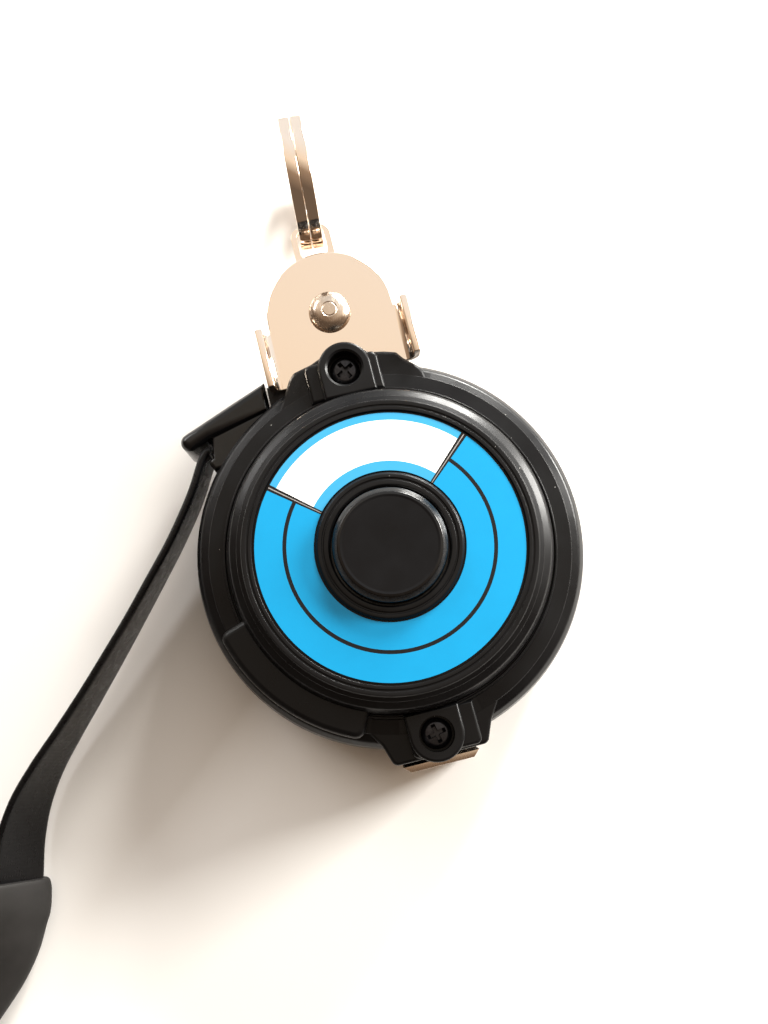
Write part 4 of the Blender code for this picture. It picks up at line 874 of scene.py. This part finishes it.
# %% Stop button
BUTTON = [(0, 0.03655, 0), (0.0105, 0.0366, 0.0008), (0.0110, 0.0367, 0.0003),
          (0.0116, 0.0366, 0.0004), (0.0128, 0.0353, 0.0008), (0.0129, 0.0330, 0.0004),
          (0.0129, 0.0301, 0), (0.0145, 0.0301, 0), (0.0145, 0.02655, 0), (0.0112, 0.02655, 0),
          (0.0112, 0.0347, 0), (0, 0.0347, 0)]
bm = turned(rounded(BUTTON, 5), 128, closed=False)
for face in bm.faces:
    spot = face.calc_center_median()
    face.material_index = 0 if spot.xy.length < 0.0112 and spot.z > 0.0350 else 1
button = piece_from(bm, "thumb_button", [button_abs, polished_abs])
settle(button, "button", "gloss_black", "stop_button")

# %% [markdown]
# ## Case screws
# Pan-head screws with a cross recess. The recess is cut with two crossed blades that taper
# towards the point of the driver.

# %% Screws
def screw(name, y, turn):
    """A screw in its bore, with the cross turned by some degrees."""
    profile = rounded([(0, 0.0252, 0), (0.0026, 0.0250, 0.0008), (0.0035, 0.0240, 0.0006),
                       (0.0035, 0.0232, 0), (0.0017, 0.0232, 0), (0.0017, 0.0004, 0),
                       (0, 0.0004, 0)], 5)
    piece = piece_from(turned(profile, 48, closed=False), name, [black_zinc])
    cuts = []
    for quarter in (0, 90):
        blade = block((-0.0027, -0.0006, 0.0236), (0.0027, 0.0006, 0.0260))
        tip = [v for v in blade.verts if v.co.z < 0.0240]
        bmesh.ops.scale(blade, vec=(0.55, 0.6, 1.0), verts=tip)
        bmesh.ops.rotate(blade, cent=(0, 0, 0), verts=blade.verts,
                         matrix=Matrix.Rotation(math.radians(turn + quarter), 3, "Z"))
        cuts.append(("DIFFERENCE", blade))
    carve(piece, cuts)
    piece.data.transform(Matrix.Translation((0, y, 0)))
    return settle(piece, "reel", "dark_screw", name.replace("_cross", ""))


screw("case_screw_top_cross", TOP_SCREW, 28)
screw("case_screw_bottom_cross", BOTTOM_SCREW, 12)

# %% [markdown]
# ## Outlet and horn
# The webbing runs out under a polished horn, rounded like a thumb so that it can't fray, and
# over a small lip. One outline is extruded, its edges are rounded, and the slot is cut through.

# %% Outlet
HORN = ([Vector((-0.0192, 0.0464))] + arc((-0.0394, 0.0366), 0.0021, 112, 290, 14)
        + [Vector((-0.0346, 0.0362)), Vector((-0.0192, 0.0392))])
LIP = ([Vector((-0.0192, 0.0400)), Vector((-0.0340, 0.0366))]
       + arc((-0.0347, 0.0304), 0.0012, 100, 205, 7)
       + [Vector((-0.0351, 0.0286)), Vector((-0.0245, 0.0286)), Vector((-0.0192, 0.0319))])
SLOT = [(-0.0140, 0.0358), (-0.0346, 0.0358), (-0.0365, 0.0345), (-0.0370, 0.0318),
        (-0.0140, 0.0318)]
horn = piece_from(plate(HORN, 0.0040, 0.0217, 0.0019, 7, both=True), "outlet_horn",
                  [polished_abs])
carve(horn, [("UNION", plate(LIP, 0.0041, 0.0209, 0.0008, 4, both=True)),
             ("DIFFERENCE", plate([Vector(point) for point in SLOT], 0.0050, 0.0200))])
settle(horn, "reel", "gloss_black", "outlet_guide")

# %% [markdown]
# ## Bracket, link and ring
# Two nickel-plated plates hold a flat link between them, on one rivet. The link carries a
# split ring of flat wire, wound twice round, which passes through the link's eye.

# %% Plates
bracket = settle(softened("front_bracket", "front_plate_with_ears", 0.28 * MM, [bright_nickel], 3),
                 "reel", "plated_steel", "front_bracket")
back = settle(softened("rear_plate", "back_plate", 0.28 * MM, [satin_nickel], 3),
              "reel", "plated_steel", "rear_plate")
link = settle(softened("swivel_link", "link_plate", 0.3 * MM, [bright_nickel], 3),
              "link", "plated_steel", "swivel_link")

# %% Rivet
RIVET = [(0, 0.02445, 0), (0.0015, 0.02445, 0.0002), (0.0017, 0.02428, 0.0001),
         (0.0019, 0.02440, 0.0001), (0.0034, 0.0240, 0.0030), (0.0047, 0.0230, 0.0008),
         (0.0050, 0.0219, 0.0001), (0.0025, 0.0219, 0), (0.0025, 0.0158, 0), (0.0042, 0.0158, 0),
         (0.0042, 0.0150, 0.0004), (0.0030, 0.0143, 0.0004), (0, 0.0143, 0)]
rivet = piece_from(turned(rounded(RIVET, 5), 64, (0, 0.0590), closed=False), "domed_rivet",
                   [satin_nickel])
settle(rivet, "reel", "plated_steel", "bracket_rivet")

# %% Split ring
RING_R, RING_RADIAL, RING_WIRE, RING_AIR = 0.0164, 0.0030, 0.0027, 0.0001
RING_SOFT = 0.00018
wire = rounded([(RING_R + RING_RADIAL / 2, 0.5 * RING_WIRE, RING_SOFT),
                (RING_R - RING_RADIAL / 2, 0.5 * RING_WIRE, RING_SOFT),
                (RING_R - RING_RADIAL / 2, -0.5 * RING_WIRE, RING_SOFT),
                (RING_R + RING_RADIAL / 2, -0.5 * RING_WIRE, RING_SOFT)], 3)
bm = bmesh.new()
low = -(RING_WIRE + RING_AIR) / 2
section = [bm.verts.new((point.x, 0, point.y + low)) for point in wire]
bm.faces.new(section)
edges = list(bm.edges)
last = section
STEP_OVER = 0.40                          # the stretch in which the wire changes sides
LAP = 2 * math.pi - STEP_OVER - 0.04
for angle, rise, steps in ((LAP, 0.0, 60), (STEP_OVER, RING_WIRE + RING_AIR, 8), (LAP, 0.0, 60)):
    spun = bmesh.ops.spin(bm, geom=last + edges, cent=(0, 0, 0), axis=(0, 0, 1), angle=angle,
                          steps=steps, dvec=(0, 0, rise / steps))["geom_last"]
    last = [item for item in spun if isinstance(item, bmesh.types.BMVert)]
    edges = [item for item in spun if isinstance(item, bmesh.types.BMEdge)]
bmesh.ops.edgeloop_fill(bm, edges=edges)
bmesh.ops.recalc_face_normals(bm, faces=bm.faces)
ring_low, ring_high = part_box("split_ring")
ring_middle = (ring_low + ring_high) / 2
stand = (Matrix.Translation(ring_middle) @ Matrix.Rotation(math.radians(-3.5), 4, "Z")
         @ Matrix.Rotation(math.radians(90), 4, "Y") @ Matrix.Rotation(math.radians(20), 4, "Z"))
bmesh.ops.transform(bm, matrix=stand, verts=bm.verts)
ring = settle(piece_from(bm, "split_ring_wire", [bright_nickel]), "ring", "plated_steel",
              "split_ring")
print("ring", [round(value, 4) for value in ring_low], [round(value, 4) for value in ring_high])

# %% [markdown]
# ## Pieces inside the case
# These CAD nodes already have the right shape. They keep it, and only get their finish.

# %% Finishes for the inner nodes
INNER = {
    "drum_plastic": (drum_nylon, ("drum", "drum_flange")),
    "white_nylon": (white_nylon, ("rear_bush", "front_bush")),
    "turned_steel": (turned_steel, ("drum_shaft", "drum_screw_1", "drum_screw_2",
                                    "drum_screw_3", "spring_seat")),
    "spring_steel": (blued_steel, ("shaft_clip", "power_spring", "button_spring")),
    "brake_rubber": (brake_rubber, ("brake_pad",)),
    "black_webbing": (coil_webbing, ("webbing_coil", "webbing_lead")),
}
for slot, (material, names) in INNER.items():
    for name in names:
        nodes[name].data.materials.clear()
        nodes[name].data.materials.append(material)
        print(name, "in", slot)

# %% [markdown]
# ## Table and light
# A pale table in a bright room: nearly everything is white, and the shadow at the lower left is
# broad and a little warm. Two windows on the right cast it between them, a narrow light on the
# upper left draws the bright edges on the black plastic, and the room's own light is warm.

# %% Table
bm = bmesh.new()
bmesh.ops.create_grid(bm, x_segments=8, y_segments=8, size=1.6)
bmesh.ops.translate(bm, verts=bm.verts, vec=(0, 0, -0.0001))
table_top, tree, shader = material_base("painted_table_top", "#F3F1EE", 0.75)
place = add(tree, "ShaderNodeTexCoord").outputs["Object"]
paint = add(tree, "ShaderNodeTexNoise", {"Vector": place, "Scale": 1 / (60 * MM), "Detail": 3.0})
tone = add(tree, "ShaderNodeMix", {0: paint.outputs["Fac"], 6: linear("#F1EFEC"),
                                   7: linear("#F6F4F1")}, data_type="RGBA")
tree.links.new(tone.outputs[2], shader.inputs["Base Color"])
table = piece_from(bm, "table", [table_top])
print("table")

# %% Lights
def soft_light(name, at, aim, size, power, colour):
    """A soft rectangular light at a place, turned to face another."""
    data = bpy.data.lights.new(name, "AREA")
    data.shape = "RECTANGLE"
    data.size, data.size_y = size
    data.energy = power
    data.color = linear(colour)[:3]
    light = bpy.data.objects.new(name, data)
    light.location = at
    light.rotation_euler = (Vector(aim) - Vector(at)).to_track_quat("-Z", "Y").to_euler()
    bpy.context.scene.collection.objects.link(light)
    return light


WINDOW_AWAY, WINDOW_UP, WINDOW_POWER = 0.76, 0.26, 15.5
for name, side in (("near_window", 14), ("far_window", 55)):
    turn = math.radians(side)
    soft_light(name, (WINDOW_AWAY * math.cos(turn), WINDOW_AWAY * math.sin(turn), WINDOW_UP),
               (0, 0, 0), (0.24, 0.16), WINDOW_POWER, "#FFFDF8")
soft_light("bright_edge", (-0.38, 0.50, 0.30), (0, 0, 0.02), (0.30, 0.10), 1.6, "#FFFFFF")
print("three lights")

# %% [markdown]
# ## The room
# Bright metal mirrors the room: light beyond the bracket, brown on the lanyard's side.

# %% Room
world = bpy.data.worlds.new("room")
world.use_nodes = True
tree = world.node_tree
way = add(tree, "ShaderNodeTexCoord").outputs["Generated"]
BRIGHT_WAY = (0.45, 0.80, 0.30)
facing = add(tree, "ShaderNodeVectorMath", {0: way, 1: BRIGHT_WAY},
             operation="DOT_PRODUCT").outputs["Value"]
steps = add(tree, "ShaderNodeMapRange", {"Value": facing, "From Min": -0.2, "From Max": 0.8})
room = add(tree, "ShaderNodeValToRGB", {"Fac": steps.outputs["Result"]})
for stop, colour in ((0.38, "#A28B76"), (0.64, "#FFEED8")):
    room.color_ramp.elements.new(stop).color = linear(colour)
room.color_ramp.elements[0].color = linear("#6E5F52")
room.color_ramp.elements[-1].color = linear("#FFFFFF")
sky = tree.nodes["Background"]
tree.links.new(room.outputs["Color"], sky.inputs["Color"])
sky.inputs["Strength"].default_value = 1.05
bpy.context.scene.world = world
bpy.context.scene.view_settings.view_transform = "Standard"
print("room")
